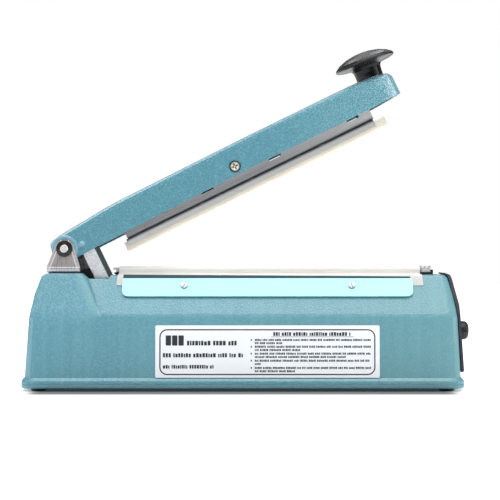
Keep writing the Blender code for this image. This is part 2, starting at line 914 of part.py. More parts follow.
guide_block = part("striker_guide", box((-123.9, -95.9), (-15.6, 15.6), (82.4, 83.8)), BLACK, FRAME)
cheek = [(-123.9, 81.2), (-110.4, 81.2), (-110.4, 84.5), *arc(-117.15, 84.5, 6.75, 0, 180, 10)]
join(guide_block, prism(cheek, -15.6, -14.0))
join(guide_block, prism(cheek, 14.0, 15.6))
cut(guide_block, box((-122.6, -96.9), (-14.05, 14.05), (70, 100)))

# ---------------------------------------------------------------- press arm

ARM_STATIONS = [
    (-9.3, -2.0, 6.8, 13.6),
    (-8.6, -4.4, 8.4, 14.6),
    (-6.0, -7.6, 9.6, 15.1),
    (0.0, -9.8, 10.7, 15.3),
    (5.0, -9.7, 11.3, 15.3),
    (21.8, -9.0, 12.7, 15.4),
    (37.3, -8.8, 14.2, 15.4),
    (52.5, -8.5, 14.9, 15.3),
    (152.5, -6.2, 16.2, 15.0),
    (232.0, -6.1, 16.4, 15.0),
    (249.4, -5.9, 16.0, 15.0),
    (260.0, -5.4, 14.4, 15.0),
    (264.5, -5.1, 14.0, 14.3),
    (269.2, -4.9, 13.8, 12.5),
    (272.6, -4.8, 13.3, 10.0),
    (274.8, -4.7, 12.2, 6.8),
    (276.1, -4.6, 10.3, 3.2),
]


def arm_ring(s, low, high, half, radius, foot):
    """A cross-section with a rounded back, seen along the arm."""
    radius = min(radius, half * 0.7, (high - low) * 0.4)
    points = [(half - foot, low), (half, low + foot)]
    points += arc(half - radius, high - radius, radius, 0, 90, 3)
    points += arc(-half + radius, high - radius, radius, 90, 180, 3)
    points += [(-half, low + foot), (-half + foot, low)]
    return [(s, y, n) for y, n in points]


arm = part(
    "lever_arm",
    tube_of([arm_ring(s, low, high, half, 4.0, 0.3) for s, low, high, half in ARM_STATIONS]),
    ARM_TEAL,
    ARM,
    smooth=28,
)
SEAT_S = 261.0
SEAT_TILT = 6.0
join(
    arm,
    turned([(0, -3.2), (11.8, -3.2), (11.1, 0.0), (10.6, 0.3), (0, 0.3)], 30),
    at=(SEAT_S, 0, 14.9),
    turn=(0, SEAT_TILT, 0),
)
inside = [
    (s, low, high, half)
    for s, low, high, half in ARM_STATIONS
    if -6.0 <= s <= 269.2
]
cavity = []
for s, low, high, half in inside:
    roof = high - 2.8
    side = half - (ARM_WALL if s > 45 else HINGE_WALL)
    if s > 262:
        side = half - 3.6
    cavity.append(arm_ring(s, low - 4.0, roof, side, 2.0, 0.2))
cut(arm, tube_of(cavity))
boss = [(0, 14.6), (10.0, 14.6), (10.0, 15.2), (9.6, 15.75), (8.9, 16.0), (0, 16.0)]
nub = [(0, 14.6), (2.7, 14.6), (2.7, 15.2), (2.4, 15.75), (1.9, 16.0), (0, 16.0)]
for side in (-1, 1):
    join(arm, turned(boss, 30), turn=(90 * side, 0, 0))
    join(arm, turned(nub, 16), at=(13.1, 0, -2.5), turn=(90 * side, 0, 0))
    join(arm, box((8.6, 11.6), sorted((side * 14.6, side * 15.8)), (-3.3, -1.3)))
cut(arm, box((138.4, 141.0), (-30, 30), (-12, -5.7)))
cut(arm, rod(3.2, -30, 30, 16), turn=(90, 0, 0))
counterbore = [(0, -30), (2.2, -30), (2.2, 13.55), (4.6, 13.55), (4.6, 20), (0, 20)]
cut(arm, turned(counterbore, 20), at=(BAR_PIVOT[0], 0, BAR_PIVOT[1]), turn=(90, 0, 0))
cut(arm, rod(1.45, -30, 30, 10), at=(13.1, 0, -2.5), turn=(90, 0, 0))
cut(arm, rod(2.7, -12, 12, 12), at=(SEAT_S, 0, 14.9), turn=(0, SEAT_TILT, 0))

knob_profile = [
    (0, 0.5),
    (10.1, 0.5),
    (10.2, 1.8),
    (10.2, 4.6),
    (10.6, 7.6),
    (11.7, 9.5),
    (15.0, 10.5),
    (20.6, 11.3),
    (22.6, 11.9),
    (23.0, 12.9),
    (22.2, 14.3),
    (19.0, 16.6),
    (14.0, 18.7),
    (8.0, 20.1),
    (3.0, 20.7),
    (0, 20.8),
]
handle = part(
    "handle_knob",
    turned(knob_profile, 36),
    KNOB_BLACK,
    ARM,
    (SEAT_S, 0, 14.9),
    (0, SEAT_TILT, 0),
    smooth=40,
)
cut(handle, rod(2.2, -2, 12.5, 16))
screw(
    "handle_screw",
    ZINC,
    ARM,
    (SEAT_S - 0.48, 0, 10.3),
    (0, 180 + SEAT_TILT, 0),
    (4.2, 2.4),
    (2.0, 15.0),
    "cross",
    12,
)

striker_web = 1.3
striker = part(
    "switch_striker",
    box(STRIKER_S, (-STRIKER_HALF, STRIKER_HALF), (STRIKER_END, 5.0)),
    ZINC,
    ARM,
)
striker_inside = STRIKER_HALF - striker_web
cut(striker, box((0, STRIKER_S[1] - striker_web), (-striker_inside, striker_inside), (-60, 20)))
cut(striker, rod(1.45, -30, 30, 10), at=(13.1, 0, -2.5), turn=(90, 0, 0))
cut(
    striker,
    prism([(0, -60), (STRIKER_S[0] + 3.0, -60), (STRIKER_S[0], STRIKER_END + 3.0), (0, -44)], -20, 20),
)
part(
    "striker_rivet",
    turned(
        [
            (0, -16.8),
            (1.2, -16.7),
            (1.9, -16.1),
            (1.3, -16.05),
            (1.3, 16.05),
            (1.9, 16.1),
            (1.2, 16.7),
            (0, 16.8),
        ],
        14,
    ),
    ARM_TEAL,
    ARM,
    (13.1, 0, -2.5),
    (90, 0, 0),
    smooth=40,
)

# ---------------------------------------------------------------- rocking press bar

BAR_LEFT = 44.5 - BAR_PIVOT[0]
BAR_RIGHT = 249.0 - BAR_PIVOT[0]
bar = part(
    "press_bar",
    prism(
        [
            (-5.8, -12.8),
            (5.8, -12.8),
            (7.3, -12.1),
            (8.2, -10.4),
            (8.4, -8.6),
            (8.4, -4.6),
            (7.0, -3.9),
            (6.0, -3.9),
            (6.0, -9.8),
            (-6.0, -9.8),
            (-6.0, -3.9),
            (-7.0, -3.9),
            (-8.4, -4.6),
            (-8.4, -8.6),
            (-8.2, -10.4),
            (-7.3, -12.1),
        ],
        BAR_LEFT,
        BAR_RIGHT,
        "X",
    ),
    GREY_BAR,
    BAR,
    smooth=30,
)
lug = [(-16, -10.5), (16, -10.5), (7.5, 3.0), *arc(0, 0, 6.0, 40, 140, 6), (-7.5, 3.0)]
join(bar, prism(lug, -8.0, -5.6))
join(bar, prism(lug, 5.6, 8.0))
cut(bar, rod(2.2, -30, 30, 12), turn=(90, 0, 0))
# Windows under the edge of the arm, through both sides of the bar.
for s, low, high in ((114.0, -8.0, -7.0), (170.1, -7.8, -6.1), (234.9, -7.6, -5.6)):
    opening = box(
        (s - 4.7 - BAR_PIVOT[0], s + 4.7 - BAR_PIVOT[0]),
        (-30, 30),
        (low - BAR_PIVOT[1], high - BAR_PIVOT[1]),
    )
    cut(bar, opening)
part(
    "silicone_channel",
    prism(
        [
            (-6.9, -18.7),
            (-5.9, -18.7),
            (-5.9, -14.4),
            (5.9, -14.4),
            (5.9, -18.7),
            (6.9, -18.7),
            (6.9, -13.1),
            (-6.9, -13.1),
        ],
        CHANNEL_S[0] - BAR_PIVOT[0],
        CHANNEL_S[1] - BAR_PIVOT[0],
        "X",
    ),
    ALUMINIUM,
    BAR,
)
n_shift = -BAR_PIVOT[1]
part(
    "silicone_strip",
    prism(
        rounded_polygon(
            [
                (-5.6, SILICONE_N[0] + n_shift, 0.8),
                (5.6, SILICONE_N[0] + n_shift, 0.8),
                (5.6, SILICONE_N[1] + n_shift, 0),
                (-5.6, SILICONE_N[1] + n_shift, 0),
            ],
            2,
        ),
        SILICONE_S[0] - BAR_PIVOT[0],
        SILICONE_S[1] - BAR_PIVOT[0],
        "X",
    ),
    SILICONE,
    BAR,
)
screw(
    "bar_pivot_screw",
    BRIGHT,
    ARM,
    (BAR_PIVOT[0], -13.7, BAR_PIVOT[1]),
    (90, 0, 0),
    (3.9, 2.2),
    (2.0, 33.0),
    "cross",
    20,
)
nut = part(
    "bar_pivot_nut",
    prism(arc(0, 0, 4.0, 0, 300, 5), 15.3, 18.3, "Y"),
    ZINC,
    ARM,
    (BAR_PIVOT[0], 0, BAR_PIVOT[1]),
)
bevel(nut, 0.3, 1)
cut(nut, rod(2.15, -30, 30, 12), turn=(90, 0, 0))

# ---------------------------------------------------------------- sealing bed

bed = part(
    "bed_bar",
    prism(
        rounded_polygon(
            [
                (-BED_HALF_Y, DECK_Z + 0.5, 0),
                (BED_HALF_Y, DECK_Z + 0.5, 0),
                (BED_HALF_Y, BED_TOP, 1.0),
                (-BED_HALF_Y, BED_TOP, 1.0),
            ],
            3,
        ),
        BED_X[0],
        BED_X[1],
        "X",
    ),
    ALUMINIUM,
    FRAME,
    smooth=30,
)
wire = [(-97.4, 91.7), (-93.4, 91.85), (-92.2, 92.2), (131.2, 92.2), (133.6, 91.2), (140.6, 91.0)]
ribbon = [(x, z + 0.18) for x, z in reversed(wire)]
part("heating_wire", prism(wire + ribbon, -1.6, 1.6), NICHROME, FRAME)

slope_dir = Vector((CREASE_Y - DECK_EDGE_Y, DECK_Z - CREASE_Z)).normalized()
slope_out = Vector((-slope_dir.y, slope_dir.x))


def cloth_line(lift):
    """The front half of the cloth section at this distance off the base, as (y, z)."""
    start = Vector((-CREASE_Y, CREASE_Z)) + slope_dir * 25.5 + slope_out * lift
    edge = Vector((-CREASE_Y, CREASE_Z)) + slope_dir * 32.2 + slope_out * lift
    return [
        (start.x, start.y),
        (edge.x, edge.y),
        (-19.3 - lift * 0.7, 86.3 + lift * 0.7),
        (-18.1 - lift * 0.4, DECK_Z + lift),
        (-BED_HALF_Y - 1.2, DECK_Z + lift),
        (-BED_HALF_Y - lift, DECK_Z + 1.2),
        (-BED_HALF_Y - lift, BED_TOP - 0.6),
        (-BED_HALF_Y + 1.2 - lift * 0.6, BED_TOP + 0.3 + lift),
    ]


under = cloth_line(0.2)
over = cloth_line(0.2 + CLOTH_THICK)
under = under + [(-y, z) for y, z in reversed(under)]
over = over + [(-y, z) for y, z in reversed(over)]
cloth = part(
    "coated_cloth",
    prism(under + list(reversed(over)), CLOTH_X[0], CLOTH_X[1], "X"),
    CLOTH,
    FRAME,
    smooth=30,
)

for label, slope in (("front", FRONT_SLOPE), ("back", BACK_SLOPE)):
    flip = 1 if slope is FRONT_SLOPE else -1
    ends = sorted((STRIP_X[0] * flip, STRIP_X[1] * flip))
    gasket_outline = rounded_polygon(
        [
            (-88.0 * flip, 18.2, 0.6),
            (123.4 * flip, 18.2, 0.6),
            (123.4 * flip, 32.7, 0.6),
            (-88.0 * flip, 34.2, 0.6),
        ],
        2,
    )
    under_strip = part(
        f"{label}_strip_gasket",
        prism(gasket_outline, 0.6, 1.1, "Z"),
        RUBBER,
        slope,
    )
    outline = rounded_polygon(
        [
            (ends[0], STRIP_V[0], 5.0),
            (ends[1], STRIP_V[0], 5.0),
            (ends[1], STRIP_V[1], 0.6),
            (ends[0], STRIP_V[1], 0.6),
        ],
        4,
    )
    strip = part(
        f"{label}_cover_strip",
        prism(outline, 1.2, 1.2 + STRIP_THICK, "Z"),
        PALE_TEAL,
        slope,
    )
    bevel(strip, 0.25, 2)
    for number, x in enumerate(STRIP_SCREWS, 1):
        for piece in (under_strip, strip, cloth):
            cut(piece, rod(1.75, -5, 8, 12), parent=slope, at=(x * flip, STRIP_MID, 0))
        screw(
            f"{label}_strip_screw_{number}",
            ZINC,
            slope,
            (x * flip, STRIP_MID, 1.3 + STRIP_THICK),
            (0, 0, 25 + 40 * number),
            (2.6, 1.6),
            (1.5, 8.5),
            "slot",
            16,
        )

# ---------------------------------------------------------------- ribbon terminals

block = part(
    "terminal_block",
    prism(
        [(133.4, 87.0), (142.3, 87.0), (142.3, 90.4), (140.7, 90.7), (140.7, 88.7), (133.4, 88.7)],
        -6.5,
        6.5,
    ),
    BLACK,
    FRAME,
)
bevel(block, 0.3, 2)
clip = part("terminal_clamp", box((133.8, 140.4), (-4.8, 4.8), (88.8, 90.6)), BRIGHT, FRAME)
crown = [
    (134.0, 90.0),
    (140.3, 90.0),
    (141.0, 93.5),
    (140.0, 93.3),
    (139.4, 91.3),
    (137.9, 91.3),
    (137.7, 93.1),
    (136.7, 93.1),
    (136.5, 91.3),
    (135.1, 91.3),
    (134.6, 93.4),
    (133.5, 93.6),
]
for side in (-1, 1):
    join(clip, prism(crown, *sorted((side * 3.4, side * 4.4))))
tab = part("terminal_spring_tab", box((-95.2, -93.6), (-3.0, 3.0), (DECK_Z + 0.1, 91.6)), BRIGHT, FRAME)
join(tab, box((-97.4, -94.0), (-3.0, 3.0), (90.5, 91.6)))
join(tab, box((-96.6, -94.0), (-2.6, 2.6), (DECK_Z + 0.4, 88.4)))
bevel(tab, 0.3, 1)

# ---------------------------------------------------------------- label

label_plate = part(
    "label_plate",
    prism(rounded(-63.4, 99.3, -0.3, 37.6, 1.0, 3), 0.25, 0.7, "Z"),
    LABEL,
    FRONT_WALL,
)
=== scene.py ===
import math
import random

import bmesh
import bpy
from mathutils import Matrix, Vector


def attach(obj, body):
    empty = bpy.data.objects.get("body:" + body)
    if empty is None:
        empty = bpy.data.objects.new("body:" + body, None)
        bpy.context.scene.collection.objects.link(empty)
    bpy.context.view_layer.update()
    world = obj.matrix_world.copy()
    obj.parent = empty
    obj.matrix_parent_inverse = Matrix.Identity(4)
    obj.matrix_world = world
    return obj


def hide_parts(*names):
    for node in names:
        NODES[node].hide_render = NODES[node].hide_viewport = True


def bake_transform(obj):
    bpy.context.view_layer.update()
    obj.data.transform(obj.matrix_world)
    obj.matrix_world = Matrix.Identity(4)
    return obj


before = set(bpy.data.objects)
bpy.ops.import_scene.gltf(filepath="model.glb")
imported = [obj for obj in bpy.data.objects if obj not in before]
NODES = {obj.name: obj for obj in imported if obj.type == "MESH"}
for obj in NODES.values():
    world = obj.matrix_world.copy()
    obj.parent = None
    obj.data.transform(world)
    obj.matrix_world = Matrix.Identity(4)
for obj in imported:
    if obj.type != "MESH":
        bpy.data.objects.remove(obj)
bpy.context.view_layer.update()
MM = 0.001

# Places in row coordinates, in mm: x along the bed, y to the back, z up from the table.
PIVOT = Vector((-137.0, 0, 103.5))
# The arm's slope at rest, with the directions along it and square to it.
OPEN = math.radians(26.0)
ALONG_ARM = (math.cos(OPEN), 0, math.sin(OPEN))
OFF_ARM = (-math.sin(OPEN), 0, math.cos(OPEN))
# Places on the arm: how far along it from the pivot, and how far square to it. The bar's pivot screw has
# a cross recess, whose two slots are turned by these degrees.
NUB = (13.1, -2.5)
BAR_PIVOT = (140.2, -0.3)
CROSS_RECESS = (26, 116)
KNOB_SEAT = (261.0, 14.9)
KNOB_TILT = math.radians(20)
# The bar's windows: the middle of each along the arm and square to it, and half of its dark height.
BAR_WINDOWS = ((114.0, -7.45, 0.6), (170.1, -6.6, 0.55), (234.9, -6.1, 0.5))
# The strip screws: where each is along the bed and how its slot is turned, then how far all of them are
# up the slope from the crease, and how far off it their heads are.
STRIP_SCREWS = ((-48.0, 65.0), (75.0, 105.0))
STRIP_SCREW_UP = 24.5
STRIP_SCREW_OFF = 3.0
# The sealing bed's cloth, from its left edge to its right, and how far the weave stands off the deck.
CLOTH_LEFT, CLOTH_RIGHT = -97.4, 127.3
CLOTH_LIFT = 0.35
CLOTH_HALF_THICK = 0.15
# The base's section. The slope, from its crease up to the deck, is as (distance from the middle, height),
# and the front wall as (y, height). DROP takes a height in the part's source to the row's.
DROP = -2.6
CREASE = Vector((36.0, 56.6 + DROP))
UP_SLOPE = Vector((19.5 - 36.0, 86.7 - 56.6)).normalized()
OFF_SLOPE = Vector((UP_SLOPE.y, -UP_SLOPE.x))
DECK_Z = 86.7 + DROP
BED_HALF = 7.0
BED_TOP = 92.0 + DROP
WALL_FOOT = Vector((-38.0, 13.0 + DROP))
UP_WALL = Vector((2.0, 43.6)).normalized()
OFF_WALL = Vector((-UP_WALL.y, UP_WALL.x))
# The label on the front wall: its left edge, its lower edge up the wall, its face off the wall, and
# the ink's two faces off that.
PLATE_LEFT = -68.4
PLATE_LOW = -0.3
PLATE_FACE = 0.7
INK_LOW, INK_HIGH = -0.02, 0.05
# The floor's contact shade, in metres: its middle, half of its size, and how far its edge is soft.
SHADE_MIDDLE = (-0.005, -0.008)
SHADE_HALF = (0.146, 0.043)
SHADE_SOFT = 0.014


# ------------------------------------------------------------ shader helpers


def srgb(red, green, blue):
    def one(value):
        value /= 255
        return value / 12.92 if value <= 0.04045 else ((value + 0.055) / 1.055) ** 2.4

    return (one(red), one(green), one(blue), 1.0)


class Shader:
    """A material whose patterns are laid out in row coordinates, so they have a real size."""

    def __init__(self, name, rough, metal=0.0, **sockets):
        self.mat = bpy.data.materials.new(name)
        self.mat.use_nodes = True
        self.tree = self.mat.node_tree
        self.bsdf = self.tree.nodes["Principled BSDF"]
        self.bsdf.inputs["Roughness"].default_value = rough
        self.bsdf.inputs["Metallic"].default_value = metal
        for key, value in sockets.items():
            self.bsdf.inputs[key.replace("_", " ")].default_value = value
        self.place = self.node("ShaderNodeTexCoord")

    def node(self, kind, **settings):
        made = self.tree.nodes.new(kind)
        for key, value in settings.items():
            setattr(made, key, value)
        return made

    def link(self, a, b):
        self.tree.links.new(a, b)

    def scaled(self, x=1.0, y=1.0, z=1.0, turn=(0, 0, 0)):
        mapping = self.node("ShaderNodeMapping")
        mapping.inputs["Scale"].default_value = (x, y, z)
        mapping.inputs["Rotation"].default_value = turn
        self.link(self.place.outputs["Object"], mapping.inputs["Vector"])
        return mapping.outputs["Vector"]

    def noise(self, scale, detail=3.0, rough=0.55, vector=None):
        made = self.node("ShaderNodeTexNoise")
        made.inputs["Scale"].default_value = scale
        made.inputs["Detail"].default_value = detail
        made.inputs["Roughness"].default_value = rough
        self.link(vector or self.place.outputs["Object"], made.inputs["Vector"])
        return made.outputs["Fac"]

    def cells(self, scale, feature="SMOOTH_F1"):
        made = self.node("ShaderNodeTexVoronoi", feature=feature)
        made.inputs["Scale"].default_value = scale
        if feature == "SMOOTH_F1":
            made.inputs["Smoothness"].default_value = 0.6
        self.link(self.place.outputs["Object"], made.inputs["Vector"])
        return made.outputs["Distance"]

    def ramp(self, value, *stops):
        made = self.node("ShaderNodeValToRGB")
        stopped = made.color_ramp.elements
        while len(stopped) < len(stops):
            stopped.new(0.5)
        for element, (at, colour) in zip(stopped, stops):
            element.position = at
            element.color = colour if isinstance(colour, tuple) else (colour, colour, colour, 1)
        self.link(value, made.inputs["Fac"])
        return made.outputs["Color"]

    def math(self, operation, a, b=0.0):
        made = self.node("ShaderNodeMath", operation=operation)
        for socket, value in zip(made.inputs, (a, b)):
            if isinstance(value, (int, float)):
                socket.default_value = value
            else:
                self.link(value, socket)
        return made.outputs["Value"]

    def mix(self, factor, a, b):
        made = self.node("ShaderNodeMix", data_type="RGBA")
        for socket, value in ((made.inputs[0], factor), (made.inputs[6], a), (made.inputs[7], b)):
            if isinstance(value, (int, float, tuple)):
                socket.default_value = value
            else:
                self.link(value, socket)
        return made.outputs[2]

    def along(self, origin, direction, span):
        """0 at the origin and 1 a span further along the direction. The origin and the span are in mm."""
        off = self.node("ShaderNodeVectorMath", operation="SUBTRACT")
        off.inputs[1].default_value = Vector(origin) * MM
        self.link(self.place.outputs["Object"], off.inputs[0])
        dot = self.node("ShaderNodeVectorMath", operation="DOT_PRODUCT")
        dot.inputs[1].default_value = Vector(direction).normalized() / (span * MM)
        self.link(off.outputs["Vector"], dot.inputs[0])
        return dot.outputs["Value"]

    def rounding(self, up, share):
        """How far a face is turned towards a direction, on the roundings only and not on the flats, as a
        mask for painted highlights.
        """
        made = self.node("ShaderNodeVectorMath", operation="DOT_PRODUCT")
        made.inputs[1].default_value = Vector(up).normalized()
        self.link(self.node("ShaderNodeNewGeometry").outputs["Normal"], made.inputs[0])
        return self.ramp(made.outputs["Value"], (0.4, 0.0), (0.62, share), (0.84, share), (0.96, 0.0))

    def colour(self, value):
        self.link(value, self.bsdf.inputs["Base Color"])

    def rough(self, value):
        self.link(value, self.bsdf.inputs["Roughness"])

    def bump(self, height, strength, distance):
        made = self.node("ShaderNodeBump")
        made.inputs["Strength"].default_value = strength
        made.inputs["Distance"].default_value = distance
        self.link(height, made.inputs["Height"])
        self.link(made.outputs["Normal"], self.bsdf.inputs["Normal"])


def hammertone(name, base, dark, light, strength=0.5, streaks=0.0, marks_and_shading=None):
    """Hammered enamel: shallow cells a millimetre across, with pale leafing at their rims."""
    s = Shader(name, 0.34, Coat_Weight=0.35, Coat_Roughness=0.12, Specular_IOR_Level=0.5)
    warp = s.noise(360, 2)
    cells = s.cells(880)
    mixed = s.math("ADD", s.math("MULTIPLY", cells, 0.7), s.math("MULTIPLY", warp, 0.35))
    tone = s.ramp(mixed, (0.26, srgb(*dark)), (0.5, srgb(*base)), (0.8, srgb(*light)))
    cloud = s.noise(28, 3)
    tone = s.mix(s.math("MULTIPLY", cloud, 0.5), tone, srgb(*base))
    if streaks:
        runs = s.noise(1.0, 3, 0.6, s.scaled(150, 20, 5))
        tone = s.mix(s.ramp(runs, (0.42, 0.0), (0.72, streaks)), tone, srgb(*light))
    # The marks may add painted highlights and painted shade as well as tone.
    if marks_and_shading:
        tone = marks_and_shading(s, tone)
    s.colour(tone)
    s.rough(s.ramp(mixed, (0.25, 0.27), (0.8, 0.42)))
    s.bump(mixed, strength, 0.0005)
    return s.mat


def metal(name, colour, rough, grain=(1, 1, 1), scale=900, depth=0.15, spread=0.1, share=0.85):
    """Bare or plated metal with a drawn or brushed grain."""
    s = Shader(name, rough, share)
    field = s.noise(scale, 4, 0.6, s.scaled(*grain))
    dark = tuple(value * (1 - spread) for value in srgb(*colour)[:3]) + (1.0,)
    s.colour(s.ramp(field, (0.3, dark), (0.7, srgb(*colour))))
    s.rough(s.ramp(field, (0.3, max(rough - 0.08, 0.05)), (0.7, rough + 0.1)))
    s.bump(field, depth, 0.00004)
    return s.mat


def moulded(name, colour, rough, coarse=1400, depth=0.25, lift=1.25, shine=0.5):
    """Moulded plastic or rubber with a fine spark texture and a faint cloudiness."""
    s = Shader(name, rough, Specular_IOR_Level=shine)
    fine = s.noise(coarse, 3)
    cloud = s.noise(40, 3)
    pale = tuple(min(value * lift, 1.0) for value in srgb(*colour)[:3]) + (1.0,)
    s.colour(s.ramp(s.math("ADD", s.math("MULTIPLY", fine, 0.4), s.math("MULTIPLY", cloud, 0.6)),
                    (0.35, srgb(*colour)), (0.7, pale)))
    s.rough(s.ramp(cloud, (0.3, max(rough - 0.06, 0.05)), (0.7, rough + 0.08)))
    s.bump(fine, depth, 0.00004)
    return s.mat


def within(s, centre, radius, soft=0.6):
    """1 inside a cylinder along Y round a point, falling to 0 over its soft edge. All are in mm."""
    off = s.node("ShaderNodeVectorMath", operation="SUBTRACT")
    off.inputs[1].default_value = Vector(centre) * MM
    s.link(s.place.outputs["Object"], off.inputs[0])
    flat = s.node("ShaderNodeVectorMath", operation="MULTIPLY")
    flat.inputs[1].default_value = (1, 0, 1)
    s.link(off.outputs["Vector"], flat.inputs[0])
    far = s.node("ShaderNodeVectorMath", operation="LENGTH")
    s.link(flat.outputs["Vector"], far.inputs[0])
    inside = s.math("DIVIDE", s.math("SUBTRACT", radius * MM, far.outputs["Value"]), soft * MM)
    clamped = s.node("ShaderNodeClamp")
    s.link(inside, clamped.inputs["Value"])
    return clamped.outputs["Result"]


def on_arm(along, square):
    """The row point, in mm, this far along the arm from its pivot and this far square to it."""
    x = PIVOT.x + along * math.cos(OPEN) - square * math.sin(OPEN)
    return (x, 0, PIVOT.z + along * math.sin(OPEN) + square * math.cos(OPEN))


def arm_leafing_and_highlights(s, tone):
    """Pale painted highlights over the turned boss and its nub, along the upper rounding and on the nose's
    corner, and heavier leafing towards the knob.
    """
    boss = s.math("SUBTRACT", within(s, on_arm(0, 0), 10.4, 1.0), within(s, on_arm(0, 0), 8.0, 1.6))
    nub = within(s, on_arm(*NUB), 2.5)
    neck = within(s, on_arm(11.0, -2.2), 2.0)
    # Painted highlight: the boss ring, nub and neck are paler, as if the raised paint catches the light.
    pale = s.math("MAXIMUM", boss, s.math("MAXIMUM", nub, neck))
    tone = s.mix(s.math("MULTIPLY", pale, 0.55), tone, srgb(140, 182, 204))
    # Painted highlight along the arm's upper rounding, fading towards the knob.
    top_edge_highlight = s.rounding(OFF_ARM, 0.55)
    fade = s.ramp(s.along(on_arm(40, 0), ALONG_ARM, 130), (0.0, 1.0), (1.0, 0.25))
    tone = s.mix(s.math("MULTIPLY", top_edge_highlight, fade), tone, srgb(196, 218, 228))
    tip = s.along(on_arm(170, 0), ALONG_ARM, 100)
    fine = s.noise(1000, 1, 0.5)
    heavy = s.math("MULTIPLY", s.ramp(tip, (0.0, 0.0), (1.0, 0.6)), s.ramp(fine, (0.44, 0.0), (0.6, 1.0)))
    tone = s.mix(heavy, tone, srgb(150, 194, 201))
    pits = s.math("MULTIPLY", s.ramp(tip, (0.0, 0.0), (1.0, 0.6)), s.ramp(fine, (0.36, 1.0), (0.46, 0.0)))
    tone = s.mix(pits, tone, srgb(70, 128, 142))
    speckle = s.ramp(fine, (0.35, 0.2), (0.6, 1.0))
    # Painted highlight, speckled, on the rounded corner of the arm's nose.
    nose_highlight = s.math("MULTIPLY", s.rounding((0.86, -0.3, 0.42), 0.42), s.ramp(tip, (0.94, 0.0), (1.06, 1.0)))
    nose_highlight = s.math("MULTIPLY", nose_highlight, speckle)
    return s.mix(nose_highlight, tone, srgb(206, 226, 232))


def base_tones_and_fold_shading(s, tone):
    """Greener enamel towards the timer end; paler on the pedestal, with a painted highlight along its fold
    and painted shade in its crook.
    """
    right = s.along((-150, 0, 0), (1, 0, 0), 300)
    tone = s.mix(s.ramp(right, (0.0, 0.0), (0.45, 0.06), (1.0, 0.34)), tone, srgb(112, 158, 156))
    left = s.ramp(s.along((-104, 0, 0), (-1, 0, 0), 14), (0.0, 0.0), (1.0, 1.0))
    high = s.ramp(s.along((0, 0, 50), (0, 0, 1), 12), (0.0, 0.0), (1.0, 0.16))
    tone = s.mix(s.math("MULTIPLY", left, high), tone, srgb(134, 170, 184))
    above = s.ramp(s.along((0, 0, 48), (0, 0, 1), 12), (0.0, 0.0), (1.0, 0.36))
    specks = s.ramp(s.noise(700, 1, 0.5, s.scaled(1.0, 1.0, 0.7)), (0.48, 0.0), (0.6, 1.0))
    tone = s.mix(s.math("MULTIPLY", s.math("MULTIPLY", left, above), specks), tone, srgb(138, 180, 196))
    fold = s.along((-121.2, 0, 83.5), (0.91, 0, 0.42), 10.0)
    tall = s.ramp(s.along((0, 0, 52.0), (0, 0, 1), 31.5), (0.0, 0.0), (0.2, 1.0), (0.96, 1.0), (1.0, 0.0))
    spread = s.math("ADD", fold, 1.0)
    # Painted highlight along the pedestal's fold, and painted shade in the crook beside it.
    pale = s.ramp(s.math("MULTIPLY", spread, 0.5), (0.12, 0.0), (0.3, 0.3), (0.44, 0.34), (0.5, 0.0))
    crook_shade = s.ramp(s.math("MULTIPLY", spread, 0.5), (0.49, 0.0), (0.52, 0.42), (0.58, 0.3), (0.68, 0.0))
    tone = s.mix(s.math("MULTIPLY", pale, tall), tone, srgb(140, 190, 190))
    return s.mix(s.math("MULTIPLY", crook_shade, tall), tone, srgb(66, 122, 136))


TEAL = hammertone(
    "hammertone_base", (89, 146, 161), (80, 137, 152), (105, 160, 172), 0.8, 0.5, base_tones_and_fold_shading
)
ARM_TEAL = hammertone(
    "hammertone_arm", (80, 137, 152), (70, 126, 141), (104, 158, 172), 0.95, marks_and_shading=arm_leafing_and_highlights
)
TRAY = hammertone("hammertone_tray", (94, 148, 162), (86, 140, 155), (106, 160, 172), 0.5)
STRIP = moulded("gloss_strip_enamel", (170, 236, 240), 0.2, 500, 0.06, 1.04)
PANEL = moulded("panel_plastic", (38, 43, 52), 0.42, 1500, 0.35)
GUIDE = moulded("guide_nylon", (6, 6, 7), 0.55, 900, 0.2, 1.2, 0.2)
BLACK = moulded("black_plastic", (26, 27, 29), 0.45, 1500, 0.3)
RUBBER = moulded("foot_rubber", (24, 24, 25), 0.75, 1200, 0.5)
LABEL = moulded("label_film", (236, 239, 242), 0.35, 300, 0.03, 1.02)
INK = moulded("label_ink", (34, 36, 44), 0.5, 900, 0.05)
ALUMINIUM = metal("drawn_aluminium", (206, 209, 212), 0.34, (0.08, 1, 1), 1500, 0.25)
BRIGHT = metal("polished_steel", (176, 172, 172), 0.2, (1, 1, 0.15), 1300, 0.12, 0.2)
# Gasket rubber in a dark teal that paints the shade of the gap between the cover strips and the cloth.
GASKET_SHADE = moulded("strip_gasket_shade_rubber", (30, 58, 66), 0.6, 1200, 0.3, 1.3)
SCREW = metal("screw_zinc", (176, 182, 186), 0.3, (1, 1, 1), 1500, 0.15, 0.25, 0.9)
PIN = metal("pin_steel", (222, 222, 222), 0.3, (1, 1, 1), 1200, 0.1, 0.1, 0.6)
BLACKENED = metal("blackened_spring_steel", (58, 54, 54), 0.36, (1, 1, 1), 1200, 0.2)
SPRING = metal("spring_wire", (140, 140, 144), 0.3)
NICHROME = metal("ribbon_metal", (150, 142, 132), 0.38, (0.1, 1, 1), 1500, 0.2)
BRASS = metal("turned_brass", (204, 170, 96), 0.28)
COPPER = metal("enamelled_wire", (186, 100, 56), 0.3, (1, 1, 6), 900, 0.6)
LAMINATION = metal("laminated_steel", (104, 102, 104), 0.45, (0.05, 1, 0.05), 2200, 0.7)


